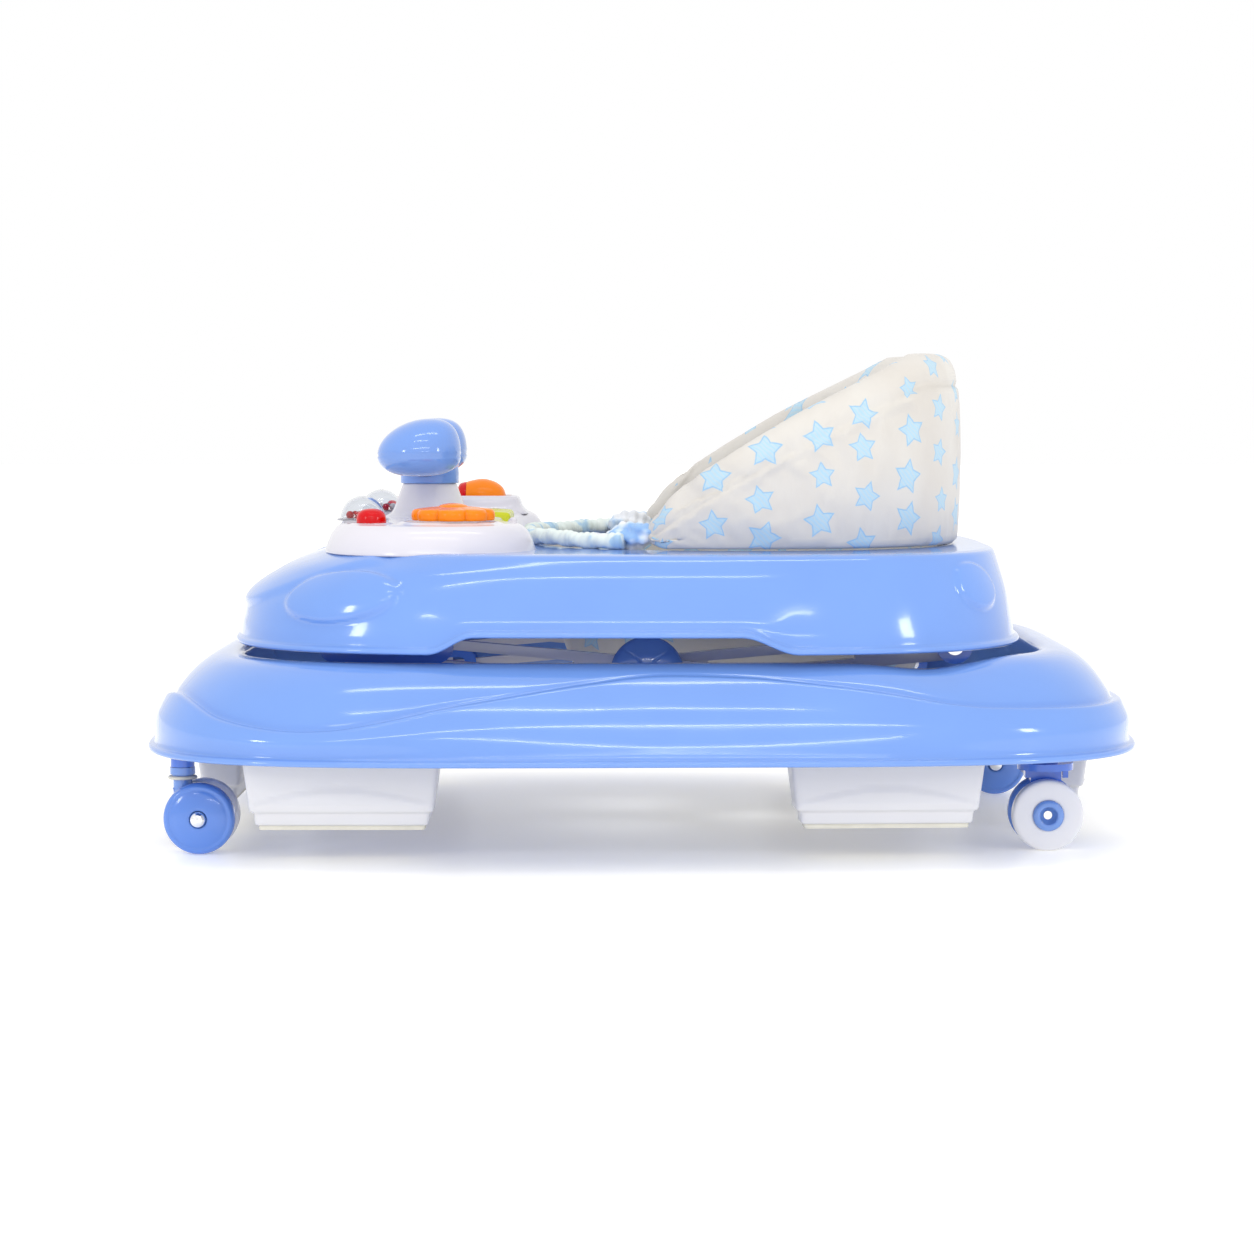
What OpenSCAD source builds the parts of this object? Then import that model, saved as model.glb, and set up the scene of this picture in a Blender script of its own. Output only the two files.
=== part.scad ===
// Folding baby walker with a scissor lift, seen folded flat.
// The child faces -X. Left is -Y, up is +Z, and the floor is z = 0.

/* [Base] */
// Length of the base over its rim
base_l = 724; // [714:2:734]
// Widest width of the base over its rim
base_w = 590; // [560:5:620]
// Height of the base's rim above the floor
rim_z = 72; // [68:1:76]
// Height of the base's flat top
base_top_z = 139; // [136:1:140]

/* [Tray] */
// Length of the tray over its rim
tray_l = 584; // [570:2:600]
// Width of the tray over its rim
tray_w = 510; // [500:2:520]
// Height of the tray's rim when folded
tray_rim_z = 146; // [144:1:148]
// Height of the tray's deck when folded
deck_z = 214; // [212:1:218]

/* [Seat] */
// Half length of the seat opening
seat_a = 157; // [150:1:160]
// Half width of the seat opening
seat_b = 152; // [146:1:153]
// Height of the backrest above the deck
back_h = 142; // [110:1:160]

/* [Wheels] */
// Radius of every wheel
wheel_r = 25.5; // [22:0.5:26]

/* [Lift] */
// Length of each leg between its pivots
leg_l = 440; // [430:1:450]
// Rise of each leg between its pivots when folded
leg_rise = 40; // [38:1:42]
// Height of the legs when folded
leg_half = 13; // [12:0.5:14]

/* [Hidden] */
wall = 3;            // thickness of moulded walls
gap = 0.3;           // clearance of soft parts
stations = 72;       // steps round the moulded rings
pivot_x = 222;       // rear pivots of both legs
low_z = 107.5;       // pivot height in the base
high_z = low_z + leg_rise;
leg_tilt = asin(leg_rise / leg_l);
slide_x = pivot_x - leg_l * cos(leg_tilt);   // sliding pins when folded
mid_x = (pivot_x + slide_x) / 2;
mid_z = (low_z + high_z) / 2;
slide_travel = 66;
pin_r = 4;
running = 0.08;      // radial clearance of a running fit
outer_leg_y = 172;   // inner face of the outer leg
inner_leg_y = 161;
leg_t = 10;
web_in = 157;        // inner face of the brackets' inner web
web_out = 183;       // inner face of the brackets' outer web
seat_x = 77;         // centre of the seat opening
seat_n = 2.3;
deck_under = deck_z - wall;
play_z = 19;         // height of the play tray
column_x = -163;
column_top = deck_z + 44.5;
front_wheel = [-329, 185];
rear_wheel = [290, 165];
trail = 13.5;
stopper_z = 23;      // bottom of the stoppers' pads
pad_t = 3;

// ---------- shared shapes ----------

function signed_pow(v, e) = sign(v) * pow(abs(v), e);

// A point at angle t on a rounded oblong: half length a, half width b, squareness n
function oblong(a, b, n, dx, t, taper = 0) =
  let (x = dx + a * signed_pow(cos(t), 2 / n))
  [x, b * signed_pow(sin(t), 2 / n) * (1 - taper * (x / base_l + 0.5))];

// Cuts the corners of a closed outline, k times
function chaikin(p, k = 3) = k == 0 ? p :
  chaikin([for (i = [0:len(p) - 1]) let (q = p[(i + 1) % len(p)])
           each [0.75 * p[i] + 0.25 * q, 0.25 * p[i] + 0.75 * q]], k - 1);

// Outline mirrored in Y
function mirrored(half) =
  concat(half, [for (i = [len(half) - 1:-1:0]) [half[i][0], -half[i][1]]]);

function smoothstep(v) = let (c = min(1, max(0, v))) c * c * (3 - 2 * c);

// Triangles across the end row of m points that starts at point o
function end_cap(m, o) = [for (k = [0:m / 2 - 2])
  each [[o + k, o + k + 1, o + m - 2 - k], [o + k, o + m - 2 - k, o + m - 1 - k]]];

function flipped(faces) = [for (f = faces) [f[2], f[1], f[0]]];

// A closed surface through rows of points. Rows close on themselves;
// the stack of rows closes too, or has end caps.
module skin(rows, closed) {
  m = len(rows[0]);
  n = len(rows);
  last = closed ? n - 1 : n - 2;
  sides = [for (j = [0:last], k = [0:m - 1])
    let (a = j * m + k, b = j * m + (k + 1) % m,
         c = ((j + 1) % n) * m + (k + 1) % m, d = ((j + 1) % n) * m + k)
    each [[a, b, c], [a, c, d]]];
  caps = closed ? [] : concat(flipped(end_cap(m, 0)), end_cap(m, (n - 1) * m));
  polyhedron(points = [for (r = rows) each r], faces = concat(sides, caps));
}

// Mirrors its children to the side: -1 is left, 1 is right
module on_side(side) mirror([0, side < 0 ? 1 : 0, 0]) children();

// A plate in the XZ plane whose inner face is at y
module plate(y, t) translate([0, y + t, 0]) rotate([90, 0, 0]) linear_extrude(t) children();

// A rod along Y
module rod(x, z, r, y0, y1) translate([x, y1, z]) rotate([90, 0, 0]) cylinder(r = r, h = y1 - y0, $fn = 48);

module slot_2d(x0, x1, z, r) {
  translate([x0, z]) circle(r, $fn = 32);
  translate([x1, z]) circle(r, $fn = 32);
  translate([x0, z - r]) square([x1 - x0, 2 * r]);
}

// ---------- base ----------

base_taper = 0.06;
base_rings = [  // how far in, height
  [0, 72], [0, 75], [5, 77], [9, 90], [18, 108], [31, 125], [43, 135], [53, 139],
  [64, 139], [68, 136], [70, 76], [67, 76], [65, 134], [55, 136], [46, 132],
  [34, 122], [21, 106], [12, 88], [8, 76], [3.4, 73.5], [3, 72]];

function base_row(t) = [for (r = base_rings)
  let (p = oblong(base_l / 2 - r[0], base_w / 2 + 6 - r[0] * 0.98, 4.5, 0, t, base_taper))
  [p[0], p[1], r[1] + (r[1] > 110 ? base_top_z - 139 : rim_z - 72)]];

module base_skirt() color([0.42, 0.62, 0.95])
  skin([for (j = [0:stations - 1]) base_row(j * 360 / stations)], true);

// Inside of the base's inner wall, for the plates that meet it
module base_inside() polygon([for (j = [0:stations - 1])
  oblong(base_l / 2 - 70 - gap, base_w / 2 + 6 - 70 * 0.98 - gap, 4.5, 0, j * 360 / stations, base_taper)]);

// Outline of a stopper box, drawn in by d all round
module box_2d(l, w, d) polygon([for (t = [5:10:355]) oblong(l / 2 - d, w / 2 - d, 12, 0, t)]);

// A stopper box, open at the top, with a stepped foot
module stopper_body(l, w) {
  foot_z = stopper_z + pad_t;
  step_z = foot_z + 9;
  top_z = rim_z + 4;
  difference() {
    hull() {
      translate([0, 0, top_z - 1]) linear_extrude(1) box_2d(l, w, 0);
      translate([0, 0, step_z]) linear_extrude(1) box_2d(l, w, 5);
    }
    hull() {
      translate([0, 0, top_z]) linear_extrude(1) box_2d(l, w, wall);
      translate([0, 0, step_z + wall]) linear_extrude(1) box_2d(l, w, 5 + wall);
    }
  }
  translate([0, 0, foot_z]) linear_extrude(step_z - foot_z + 0.5) box_2d(l, w, 8);
}

module stopper_pad(l, w) translate([0, 0, stopper_z]) linear_extrude(pad_t) box_2d(l, w, 11);

side_stopper = [138, 44];
end_stopper = [40, 200];
end_stopper_x = 314;
side_front_at = [-210.5, 232, 0];
side_rear_at = [170, 222, -3];
module at(place, side) translate([place[0], side * place[1], 0]) rotate(side * place[2]) children();

// An end stopper has two tabs that fasten to the base's inner wall
module stopper_end(end) color([0.93, 0.93, 0.95]) mirror([end > 0 ? 0 : 1, 0, 0]) {
  translate([end_stopper_x, 0, 0]) stopper_body(end_stopper[0], end_stopper[1]);
  for (y = [-60, 54]) translate([296, y, 62]) cube([5, 6, 38]);
}
module stopper_side(place, side) color([0.93, 0.93, 0.95])
  at(place, side) stopper_body(side_stopper[0], side_stopper[1]);
module stopper_pads() color([0.86, 0.84, 0.76]) {
  for (x = [-end_stopper_x, end_stopper_x]) translate([x, 0, 0]) stopper_pad(end_stopper[0], end_stopper[1]);
  for (place = [side_front_at, side_rear_at], side = [-1, 1])
    at(place, side) stopper_pad(side_stopper[0], side_stopper[1]);
}

// The tubes that the front casters' pins turn in, with the ribs that carry them
module caster_sockets() color([0.25, 0.45, 0.85]) for (side = [-1, 1]) on_side(side)
  translate([front_wheel[0], front_wheel[1], 0]) difference() {
    union() {
      translate([0, 0, 61]) cylinder(r = 8.5, h = 21, $fn = 48);
      translate([0, -5, 76]) cube([56, 10, 6]);
    }
    translate([0, 0, 60]) cylinder(r = pin_r + running, h = 18, $fn = 48);
  }

module rear_wheel_bracket(side) color([0.25, 0.45, 0.85]) on_side(side)
  translate([rear_wheel[0], rear_wheel[1], 0]) {
    difference() {
      union() {
        translate([0, 0, 57]) cylinder(r = 20, h = 5, $fn = 64);
        translate([-11, -5, 44]) cube([22, 10, 14]);
        plate(-4.5, 9) { translate([0, wheel_r]) circle(8, $fn = 48); translate([-7, wheel_r]) square([14, 20]); }
        for (x = [-15, 12]) translate([x, -5, 51]) cube([4, 10, 6.5]);
      }
      rod(0, wheel_r, 3, -6, 6);
    }
    translate([0, 0, 61.5]) cylinder(r = 9, h = 20.5, $fn = 48);
    translate([1, -5, 76]) cube([51, 10, 6]);
  }

// Webs each side of the legs, on a floor that meets the base's inner wall
module base_webs(x0, x1, side) on_side(side) {
  for (y = [web_in, web_out]) difference() {
    plate(y, wall) { children(0); translate([x0, 76]) square([x1 - x0, 20]); }
    plate(y - 1, wall + 2) children(1);
  }
  translate([0, 0, 76]) linear_extrude(wall) intersection() {
    translate([x0, web_in]) square([x1 - x0, 90]);
    base_inside();
  }
}

module base_pivot_bracket(side) color([0.25, 0.45, 0.85]) base_webs(pivot_x - 18, pivot_x + 14, side) {
  translate([pivot_x, low_z]) circle(leg_half, $fn = 48);
  translate([pivot_x, low_z]) circle(pin_r + 0.05, $fn = 48);
}

module base_slide_rail(side) color([0.25, 0.45, 0.85]) base_webs(slide_x - 16, slide_x + slide_travel + 16, side) {
  slot_2d(slide_x - 2, slide_x + slide_travel + 2, low_z, leg_half);
  slot_2d(slide_x - 0.5, slide_x + slide_travel + 1.5, low_z, pin_r + 0.4);
}

// Headed pins of the rear pivots, left and right
module pivot_pins(z) color([0.75, 0.76, 0.78]) for (side = [-1, 1]) on_side(side) {
  rod(pivot_x, z, pin_r, web_in - 0.5, web_out + wall + 0.3);
  rod(pivot_x, z, 6.5, web_out + wall + 0.2, web_out + wall + 2.2);
  rod(pivot_x, z, 6, web_in - 2.2, web_in - 0.2);
}

// ---------- wheels ----------

module caster_fork(side) color([0.42, 0.62, 0.95]) on_side(side)
  translate([front_wheel[0], front_wheel[1], 0]) {
    cylinder_at = 55.8;
    translate([0, 0, cylinder_at]) cylinder(r = 9, h = 4.9, $fn = 48);
    translate([0, 0, 60]) cylinder(r = pin_r, h = 17, $fn = 48);
    translate([0, 0, 54]) cylinder(r = 7.6, h = 2, $fn = 48);
    difference() {
      union() {
        translate([0, 0, 40]) cylinder(r = 6.8, h = 15, $fn = 48);
        plate(-4.5, 9) {
          translate([trail, wheel_r]) circle(8, $fn = 48);
          polygon([[-6.8, 46], [6.8, 46], [18.5, 28], [3.2, 24]]);
        }
      }
      rod(trail, wheel_r, 3, -8, 8);
    }
  }

// Axle along Y with an acorn nut at its blue wheel's end
module axle() rotate([-90, 0, 0]) rotate_extrude($fn = 48) polygon([
  [0, -17], [3, -17], [3, 22.6], [5.6, 22.6], [5.6, 23.6], [5, 25], [3.6, 26.2], [1.8, 26.8], [0, 27]]);

module blue_wheel() rotate([-90, 0, 0]) rotate_extrude($fn = 96) polygon([
  [3.08, 5.6], [8, 5.6], [8, 7.5], [wheel_r - 3, 7.5], [wheel_r - 0.8, 8.6], [wheel_r, 11],
  [wheel_r, 15.5], [wheel_r - 1.2, 18.6], [wheel_r - 4, 20.6], [wheel_r - 7, 21], [wheel_r - 8.5, 20.6],
  [wheel_r - 10, 21.4], [12, 22.4], [6.6, 23], [6.2, 22.3], [3.08, 22.3]]);

module white_wheel() rotate([90, 0, 0]) rotate_extrude($fn = 96) polygon([
  [3.08, 5.6], [8, 5.6], [8, 7.5], [wheel_r - 1, 7.5], [wheel_r, 8.5], [wheel_r, 18.8],
  [wheel_r - 1, 19.8], [11.5, 19.8], [10.8, 21.8], [7.2, 22.6], [6.2, 22.4], [6.2, 17.5], [3.08, 17.5]]);

// Puts a front wheel set, blue side outwards, or a rear one, white side outwards
module front_set(side) on_side(side) translate([front_wheel[0] + trail, front_wheel[1], wheel_r]) children();
module rear_set(side) on_side(side) translate([rear_wheel[0], rear_wheel[1], wheel_r]) mirror([0, 1, 0]) children();

module caster_axle(side) color([0.8, 0.8, 0.82]) front_set(side) axle();
module rear_axles() color([0.8, 0.8, 0.82]) for (side = [-1, 1]) rear_set(side) axle();
module front_blue(side) color([0.42, 0.62, 0.95]) front_set(side) blue_wheel();
module front_white(side) color([0.93, 0.93, 0.95]) front_set(side) white_wheel();
module rear_blue(side) color([0.42, 0.62, 0.95]) rear_set(side) blue_wheel();
module rear_white(side) color([0.93, 0.93, 0.95]) rear_set(side) white_wheel();

// ---------- scissor legs ----------

module leg_2d(bore_pivot, bore_mid, bore_front) {
  // the leg runs from the rear pivot, at the origin, to the front pin
  reach = leg_l;
  difference() {
    union() {
      circle(leg_half, $fn = 48);
      translate([-reach, 0]) circle(leg_half, $fn = 48);
      translate([-reach, -leg_half + 2]) square([reach, 2 * leg_half - 4]);
      translate([-reach / 2, 0]) circle(18, $fn = 48);
    }
    circle(bore_pivot, $fn = 48);
    translate([-reach / 2, 0]) circle(bore_mid, $fn = 48);
    translate([-reach, 0]) circle(bore_front, $fn = 48);
    for (x = [-reach * 0.86, -reach * 0.4]) translate([x, -4]) square([reach * 0.24, 8]);
  }
}

module outer_leg(side) color([0.92, 0.92, 0.95]) on_side(side)
  plate(outer_leg_y, leg_t) translate([pivot_x, low_z]) rotate(-leg_tilt)
    leg_2d(pin_r + running, 6, pin_r);

module inner_leg(side) color([0.92, 0.92, 0.95]) on_side(side)
  plate(inner_leg_y, leg_t) translate([pivot_x, high_z]) rotate(leg_tilt)
    leg_2d(pin_r + running, 6 + running, pin_r);

// A tube between two legs' front ends, with pins that run in the slots
module cross_tube(z) color([0.75, 0.76, 0.78]) {
  rod(slide_x, z, 8, -155.5, 155.5);
  rod(slide_x, z, pin_r, -188, 188);
}

// The domed cap outside each crossing, with the pin that both legs turn on
module pivot_cap(side) color([0.42, 0.62, 0.95]) on_side(side) {
  translate([mid_x, 0, mid_z]) rotate([-90, 0, 0]) {
    translate([0, 0, inner_leg_y - 1]) cylinder(r = 6, h = outer_leg_y + leg_t - inner_leg_y + 2, $fn = 48);
    translate([0, 0, inner_leg_y - 3]) cylinder(r = 10, h = 2.5, $fn = 48);
    translate([0, 0, outer_leg_y + leg_t]) rotate_extrude($fn = 72)
      polygon([[0, 0], [26.5, 0], [26.5, 2], [24, 5], [19, 8], [12, 10.2], [5, 11.2], [0, 11.4]]);
  }
}

// ---------- tray ----------

// how far in along X, along Y, shift in X, height, share of the side arch
tray_rings = [
  [0, 0, -11, 146, 1], [0, 0, -11, 149, 1], [4, 3.5, -11, 151, 1], [6.5, 6, -11, 165, 0.5],
  [12, 12, -9, 185, 0], [26, 19, 0, 202, 0], [41, 26, 13, 212, 0], [48, 31, 17, 217, 0]];
tray_inner_rings = [
  [50, 33, 17, 214, 0], [44, 29, 13, 209, 0], [29, 22, 0, 199, 0], [15, 15, -9, 183, 0],
  [9.5, 9, -11, 163, 0.5], [7, 6.5, -11, 149, 1], [4, 3.5, -11, 146, 1]];
opening_rings = [[3, 217], [0, 214], [0, 196], [3, 196], [4, 214]];
tray_n = 3.6;
arch_h = 12;

// 1 along the middle of each side, 0 elsewhere
function side_arch(p) = smoothstep((abs(p[1]) / (tray_w / 2) - 0.72) / 0.2)
  * smoothstep((p[0] + 150) / 32) * smoothstep((108 - p[0]) / 40);

function tray_point(r, t) =
  let (p = oblong(tray_l / 2 - r[0], tray_w / 2 - r[1], tray_n, r[2], t))
  [p[0], p[1], r[3] + r[4] * arch_h * side_arch(p)
    + (r[3] > 195 ? deck_z - 217 : tray_rim_z - 146)];

function opening_point(r, t) =
  let (p = oblong(seat_a + r[0], seat_b + r[0], seat_n, seat_x, t)) [p[0], p[1], r[1] + deck_z - 217];

function tray_row(t) = concat([for (r = tray_rings) tray_point(r, t)],
  [for (r = opening_rings) opening_point(r, t)], [for (r = tray_inner_rings) tray_point(r, t)]);

module tray_shell() color([0.42, 0.62, 0.95])
  skin([for (j = [0:stations - 1]) tray_row(j * 360 / stations)], true);

module tray_pivot_bracket(side) color([0.25, 0.45, 0.85]) on_side(side) {
  for (y = [web_in, web_out]) difference() {
    plate(y, wall) {
      translate([pivot_x, high_z]) circle(leg_half, $fn = 48);
      polygon([[pivot_x - 13, high_z], [pivot_x + 12, high_z + 6], [pivot_x + 4, 172],
               [pivot_x - 24, 204], [pivot_x - 24, deck_under], [pivot_x - 52, deck_under], [pivot_x - 52, 206]]);
    }
    plate(y - 1, wall + 2) translate([pivot_x, high_z]) circle(pin_r + 0.05, $fn = 48);
  }
  translate([pivot_x - 52, web_in, deck_under - wall]) cube([28, web_out + wall - web_in, wall]);
}

module tray_slide_rail(side) color([0.25, 0.45, 0.85]) on_side(side) {
  rail_end = slide_x + slide_travel;
  for (y = [web_in, web_out]) difference() {
    plate(y, wall) {
      slot_2d(slide_x - 2, rail_end + 2, high_z, leg_half);
      polygon([[rail_end - 14, high_z], [rail_end + 14, high_z], [rail_end + 14, deck_under],
               [rail_end - 10, deck_under]]);
    }
    plate(y - 1, wall + 2) slot_2d(slide_x - 0.5, rail_end + 1.5, high_z, pin_r + 0.4);
  }
  translate([rail_end - 10, web_in, deck_under - wall]) cube([24, web_out + wall - web_in, wall]);
}

// Comb that drops behind the upper cross tube to hold a height, with its pull bar
lock_x = -128;
lock_z = 186;
tooth_x = [-163, -186, -202];
module height_lock() color([0.95, 0.55, 0.1]) {
  for (y = [-60, 60]) plate(y - 2, 4) difference() {
    union() {
      translate([lock_x, lock_z]) circle(7, $fn = 32);
      polygon(concat([[lock_x - 2, lock_z + 7], [lock_x, lock_z - 7], [-157, 169]],
        [for (x = tooth_x) each [[x + 4, 169], [x + 1.5, 158], [x - 1.5, 158], [x - 4, 169]]],
        [[-212, 169], [-214, 179], [-198, 185]]));
    }
    translate([lock_x, lock_z]) circle(3 + running, $fn = 32);
  }
  translate([-206, -62, 172]) cube([12, 124, 5]);
}

// Rod the comb turns on, with the two ears that hang it from the deck
module lock_hinge() color([0.25, 0.45, 0.85]) {
  rod(lock_x, lock_z, 3, -72, 72);
  for (y = [-72, 66]) plate(y, 6) {
    translate([lock_x, lock_z]) circle(7, $fn = 32);
    translate([lock_x - 7, lock_z]) square([14, deck_under - lock_z]);
  }
}

// ---------- seat ----------

cover_t = 26;
arm_h = 30;          // height of the ends of its arms
cover_outer = 5;     // how far the cover's outside stands on the deck

// Height of the seat cover above the deck at x
function cover_h(x) = min(back_h, arm_h + (back_h - arm_h) * pow(max(0, (x - 6) / 203), 0.85));

function cover_row(t) = [for (c = [[0, 0], [0, -8], [3, -2.5], [8, 0], [cover_t - 8, 0], [cover_t - 3, -2.5],
                                   [cover_t, -8], [cover_t, 0]])
  let (p = oblong(seat_a + cover_outer - c[0], seat_b + cover_outer - c[0], seat_n, seat_x, t),
       rim = oblong(seat_a + cover_outer, seat_b + cover_outer, seat_n, seat_x, t),
       low = (c[0] == 0 && c[1] == 0) || (c[0] == cover_t && c[1] == 0))
  [p[0], p[1], deck_z + gap + (low ? 0 : cover_h(rim[0]) + c[1])]];

module seat_cover() color([0.94, 0.93, 0.92])
  skin([for (t = [-116:4:116]) cover_row(t)], false);

// The hanging seat: a cloth bucket with a hole for each leg
seat_drop = 142;
seat_top = [seat_a - 3, seat_b - 3];
cloth = 3;
function bucket_row(phi, inset) =
  let (f = pow(cos(phi), 0.5))
  [for (j = [0:59]) let (p = oblong((seat_top[0] - inset) * f, (seat_top[1] - inset) * f, seat_n,
                                    seat_x + 14 * (1 - f), -6 * j - 3))
    [p[0], p[1], deck_z + 0.1 - (seat_drop - inset) * pow(sin(phi), 0.72)]];
module seat_sling() color([0.85, 0.9, 0.97]) difference() {
  skin(concat([for (phi = [88, 84, 78, 70, 60, 48, 36, 24, 12, 4, 0]) bucket_row(phi, 0)],
              [for (phi = [0, 4, 12, 24, 36, 48, 60, 70, 78, 84, 88]) bucket_row(phi, cloth)]), false);
  for (side = [-1, 1]) translate([seat_x - 40, side * 40, deck_z - 72]) rotate([0, -128, -side * 24])
    cylinder(r = 47, h = 120, $fn = 64);
}

// The gathered front edge: a soft tube that lies on the deck from arm to arm
function tube_ring(t, r) =
  let (c = oblong(seat_a + 6.5, seat_b + 6.5, seat_n, seat_x, t))
  [for (q = [0:45:315]) let (k = r * (1 - 0.12 * (abs(t - 180) > 56 ? 1 : 0)))
    [c[0] + k * cos(q) * cos(t), c[1] + k * cos(q) * sin(t), deck_z + gap + r + k * sin(q)]];
module seat_front_rim() color([0.86, 0.93, 0.9])
  skin([for (t = [120:4:240]) tube_ring(t, 6.2)], false);

// ---------- play tray ----------

play_half = [[-229, 0], [-229, 60], [-228, 108], [-224, 152], [-208, 184], [-174, 202], [-140, 206],
             [-112, 203], [-88, 187], [-74, 156], [-74, 126], [-86, 100], [-93, 70], [-96, 30]];
play_top = deck_z + play_z;
play_wall = 2.5;
dome_at = [-207, 90];
button_at = [-196, 150];
flower_at = [-137, 148];
roller_at = [-129, 128];
roller_z = deck_z + 27.5;
key_x = [-124, -101];

module play_outline(inset) offset(delta = -inset) polygon(chaikin(mirrored(play_half), 2));

module play_tray() color([0.93, 0.93, 0.96]) difference() {
  translate([0, 0, deck_z]) linear_extrude(play_z) polygon(chaikin(mirrored(play_half), 2));
  translate([0, 0, deck_z - 1]) linear_extrude(play_z - play_wall + 1) play_outline(play_wall);
  for (side = [-1, 1]) translate([button_at[0], side * button_at[1], deck_z]) cylinder(r = 11, h = 40, $fn = 48);
  translate([flower_at[0], -flower_at[1], deck_z]) cylinder(r = 12.4, h = 40, $fn = 48);
  translate([key_x[0] - 0.5, -40.5, deck_z]) cube([key_x[1] - key_x[0] + 1, 81, 40]);
  translate([roller_at[0] - 21, roller_at[1] - 18.5, deck_z]) cube([42, 37, 40]);
}

// White cone that carries the handle, with a socket for the handle's pin
module steering_column() color([0.93, 0.93, 0.96]) translate([column_x, 0, play_top]) difference() {
  rotate_extrude($fn = 96) polygon([[0, 0], [36, 0], [34, 1.5], [27, 5], [24, 9], [21, column_top - play_top],
                                [0, column_top - play_top]]);
  translate([0, 0, 2]) cylinder(r = 8 + running, h = 40, $fn = 48);
}

// Two-lobed handle on a collar; each lobe is an egg, squashed in height
module steering_handle() color([0.42, 0.62, 0.95]) translate([column_x, 0, column_top]) {
  translate([0, 0, -12]) cylinder(r = 8, h = 14, $fn = 48);
  translate([0, 0, 0.5]) cylinder(r = 22.5, h = 14, $fn = 64);
  for (side = [-1, 1]) hull() {
    translate([-4, side * 46, 22]) resize([62, 62, 34]) sphere(r = 20, $fn = 30);
    translate([1, side * 40, 32]) resize([46, 46, 36]) sphere(r = 20, $fn = 30);
  }
}

module rattle_domes() color([0.85, 0.9, 0.95, 0.4]) for (side = [-1, 1])
  translate([dome_at[0], side * dome_at[1], play_top]) difference() {
    intersection() {
      sphere(r = 17, $fn = 64);
      translate([-20, -20, 0]) cube(40);
    }
    sphere(r = 15.4, $fn = 64);
  }

module rattle_beads() color([0.9, 0.15, 0.15]) for (side = [-1, 1], b = [[-6, 2], [4, -5], [5, 6], [-2, -8]])
  translate([dome_at[0] + b[0], side * dome_at[1] + b[1], play_top + 3.1]) sphere(r = 3, $fn = 24);

module flower_button() color([1, 0.6, 0.05]) translate([flower_at[0], -flower_at[1], play_top]) {
  translate([0, 0, -14]) cylinder(r = 12, h = 18, $fn = 48);
  translate([0, 0, -16]) cylinder(r = 16, h = 2.5, $fn = 48);
  translate([0, 0, 3.6]) linear_extrude(9.4) union() {
    circle(23, $fn = 64);
    for (a = [0:45:315]) rotate(a) translate([22, 0]) circle(8.6, $fn = 32);
  }
}

module red_button(side) color([0.9, 0.05, 0.08])
  translate([button_at[0], side * button_at[1], play_top]) {
    rotate_extrude($fn = 48) polygon([[0, -12], [10.6, -12], [10.6, 0.5], [10, 4], [7.5, 6.5], [4, 7.6], [0, 8]]);
    translate([0, 0, -14]) cylinder(r = 13.5, h = 2.5, $fn = 48);
  }

// One key with the flange that keeps it in
module piano_key(i) color([0.82, 0.85, 0.1]) translate([key_x[0], (i - 2) * 27, play_top]) {
  translate([0, -13, -5]) cube([key_x[1] - key_x[0], 26, 6.5]);
  translate([-1, -13, -8]) cube([key_x[1] - key_x[0] + 2, 26, 3.5]);
}

// Raised frame round the roller, with a bearing in each end wall
module roller_housing() color([0.93, 0.93, 0.96]) translate([roller_at[0], roller_at[1], 0]) difference() {
  translate([-29, -26, play_top]) cube([66, 52, 12.5]);
  translate([-22.5, -19.5, play_top - 1]) cube([45, 39, 15]);
  translate([-27, 0, roller_z]) rotate([0, 90, 0]) cylinder(r = 2.5 + running, h = 54, $fn = 32);
}

module roller() color([1, 0.6, 0.05]) translate([roller_at[0], roller_at[1], roller_z]) rotate([0, 90, 0]) {
  rotate_extrude($fn = 72) polygon([[0, -19.5], [9.8, -19.5], [13.7, -17.5], [14.9, -13], [14.9, -12],
    [16.4, -7], [17.5, 0], [16.8, 6], [14.4, 12], [10.4, 17], [5.5, 19.5], [0, 19.5]]);
  translate([0, 0, -26]) cylinder(r = 2.5, h = 52, $fn = 32);
}

// ---------- nodes ----------

base_skirt();
stopper_end(-1);  // stopper_front
stopper_end(1);  // stopper_rear
stopper_side(side_front_at, -1);  // stopper_side_front_left
stopper_side(side_front_at, 1);  // stopper_side_front_right
stopper_side(side_rear_at, -1);  // stopper_side_rear_left
stopper_side(side_rear_at, 1);  // stopper_side_rear_right
stopper_pads();
caster_sockets();
rear_wheel_bracket(-1);  // rear_wheel_bracket_left
rear_wheel_bracket(1);  // rear_wheel_bracket_right
union() { base_pivot_bracket(-1); base_pivot_bracket(1); }  // base_pivot_brackets
base_slide_rail(-1);  // base_slide_rail_left
base_slide_rail(1);  // base_slide_rail_right
pivot_pins(low_z);  // base_pivot_pins
caster_fork(-1);  // caster_fork_left
caster_fork(1);  // caster_fork_right
caster_axle(-1);  // caster_axle_left
caster_axle(1);  // caster_axle_right
rear_axles();
front_blue(-1);  // front_wheel_blue_left
front_blue(1);  // front_wheel_blue_right
front_white(-1);  // front_wheel_white_left
front_white(1);  // front_wheel_white_right
rear_blue(-1);  // rear_wheel_blue_left
rear_blue(1);  // rear_wheel_blue_right
rear_white(-1);  // rear_wheel_white_left
rear_white(1);  // rear_wheel_white_right
outer_leg(-1);  // outer_leg_left
outer_leg(1);  // outer_leg_right
cross_tube(high_z);  // upper_cross_tube
pivot_cap(-1);  // pivot_cap_left
pivot_cap(1);  // pivot_cap_right
inner_leg(-1);  // inner_leg_left
inner_leg(1);  // inner_leg_right
cross_tube(low_z);  // lower_cross_tube
tray_shell();
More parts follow.
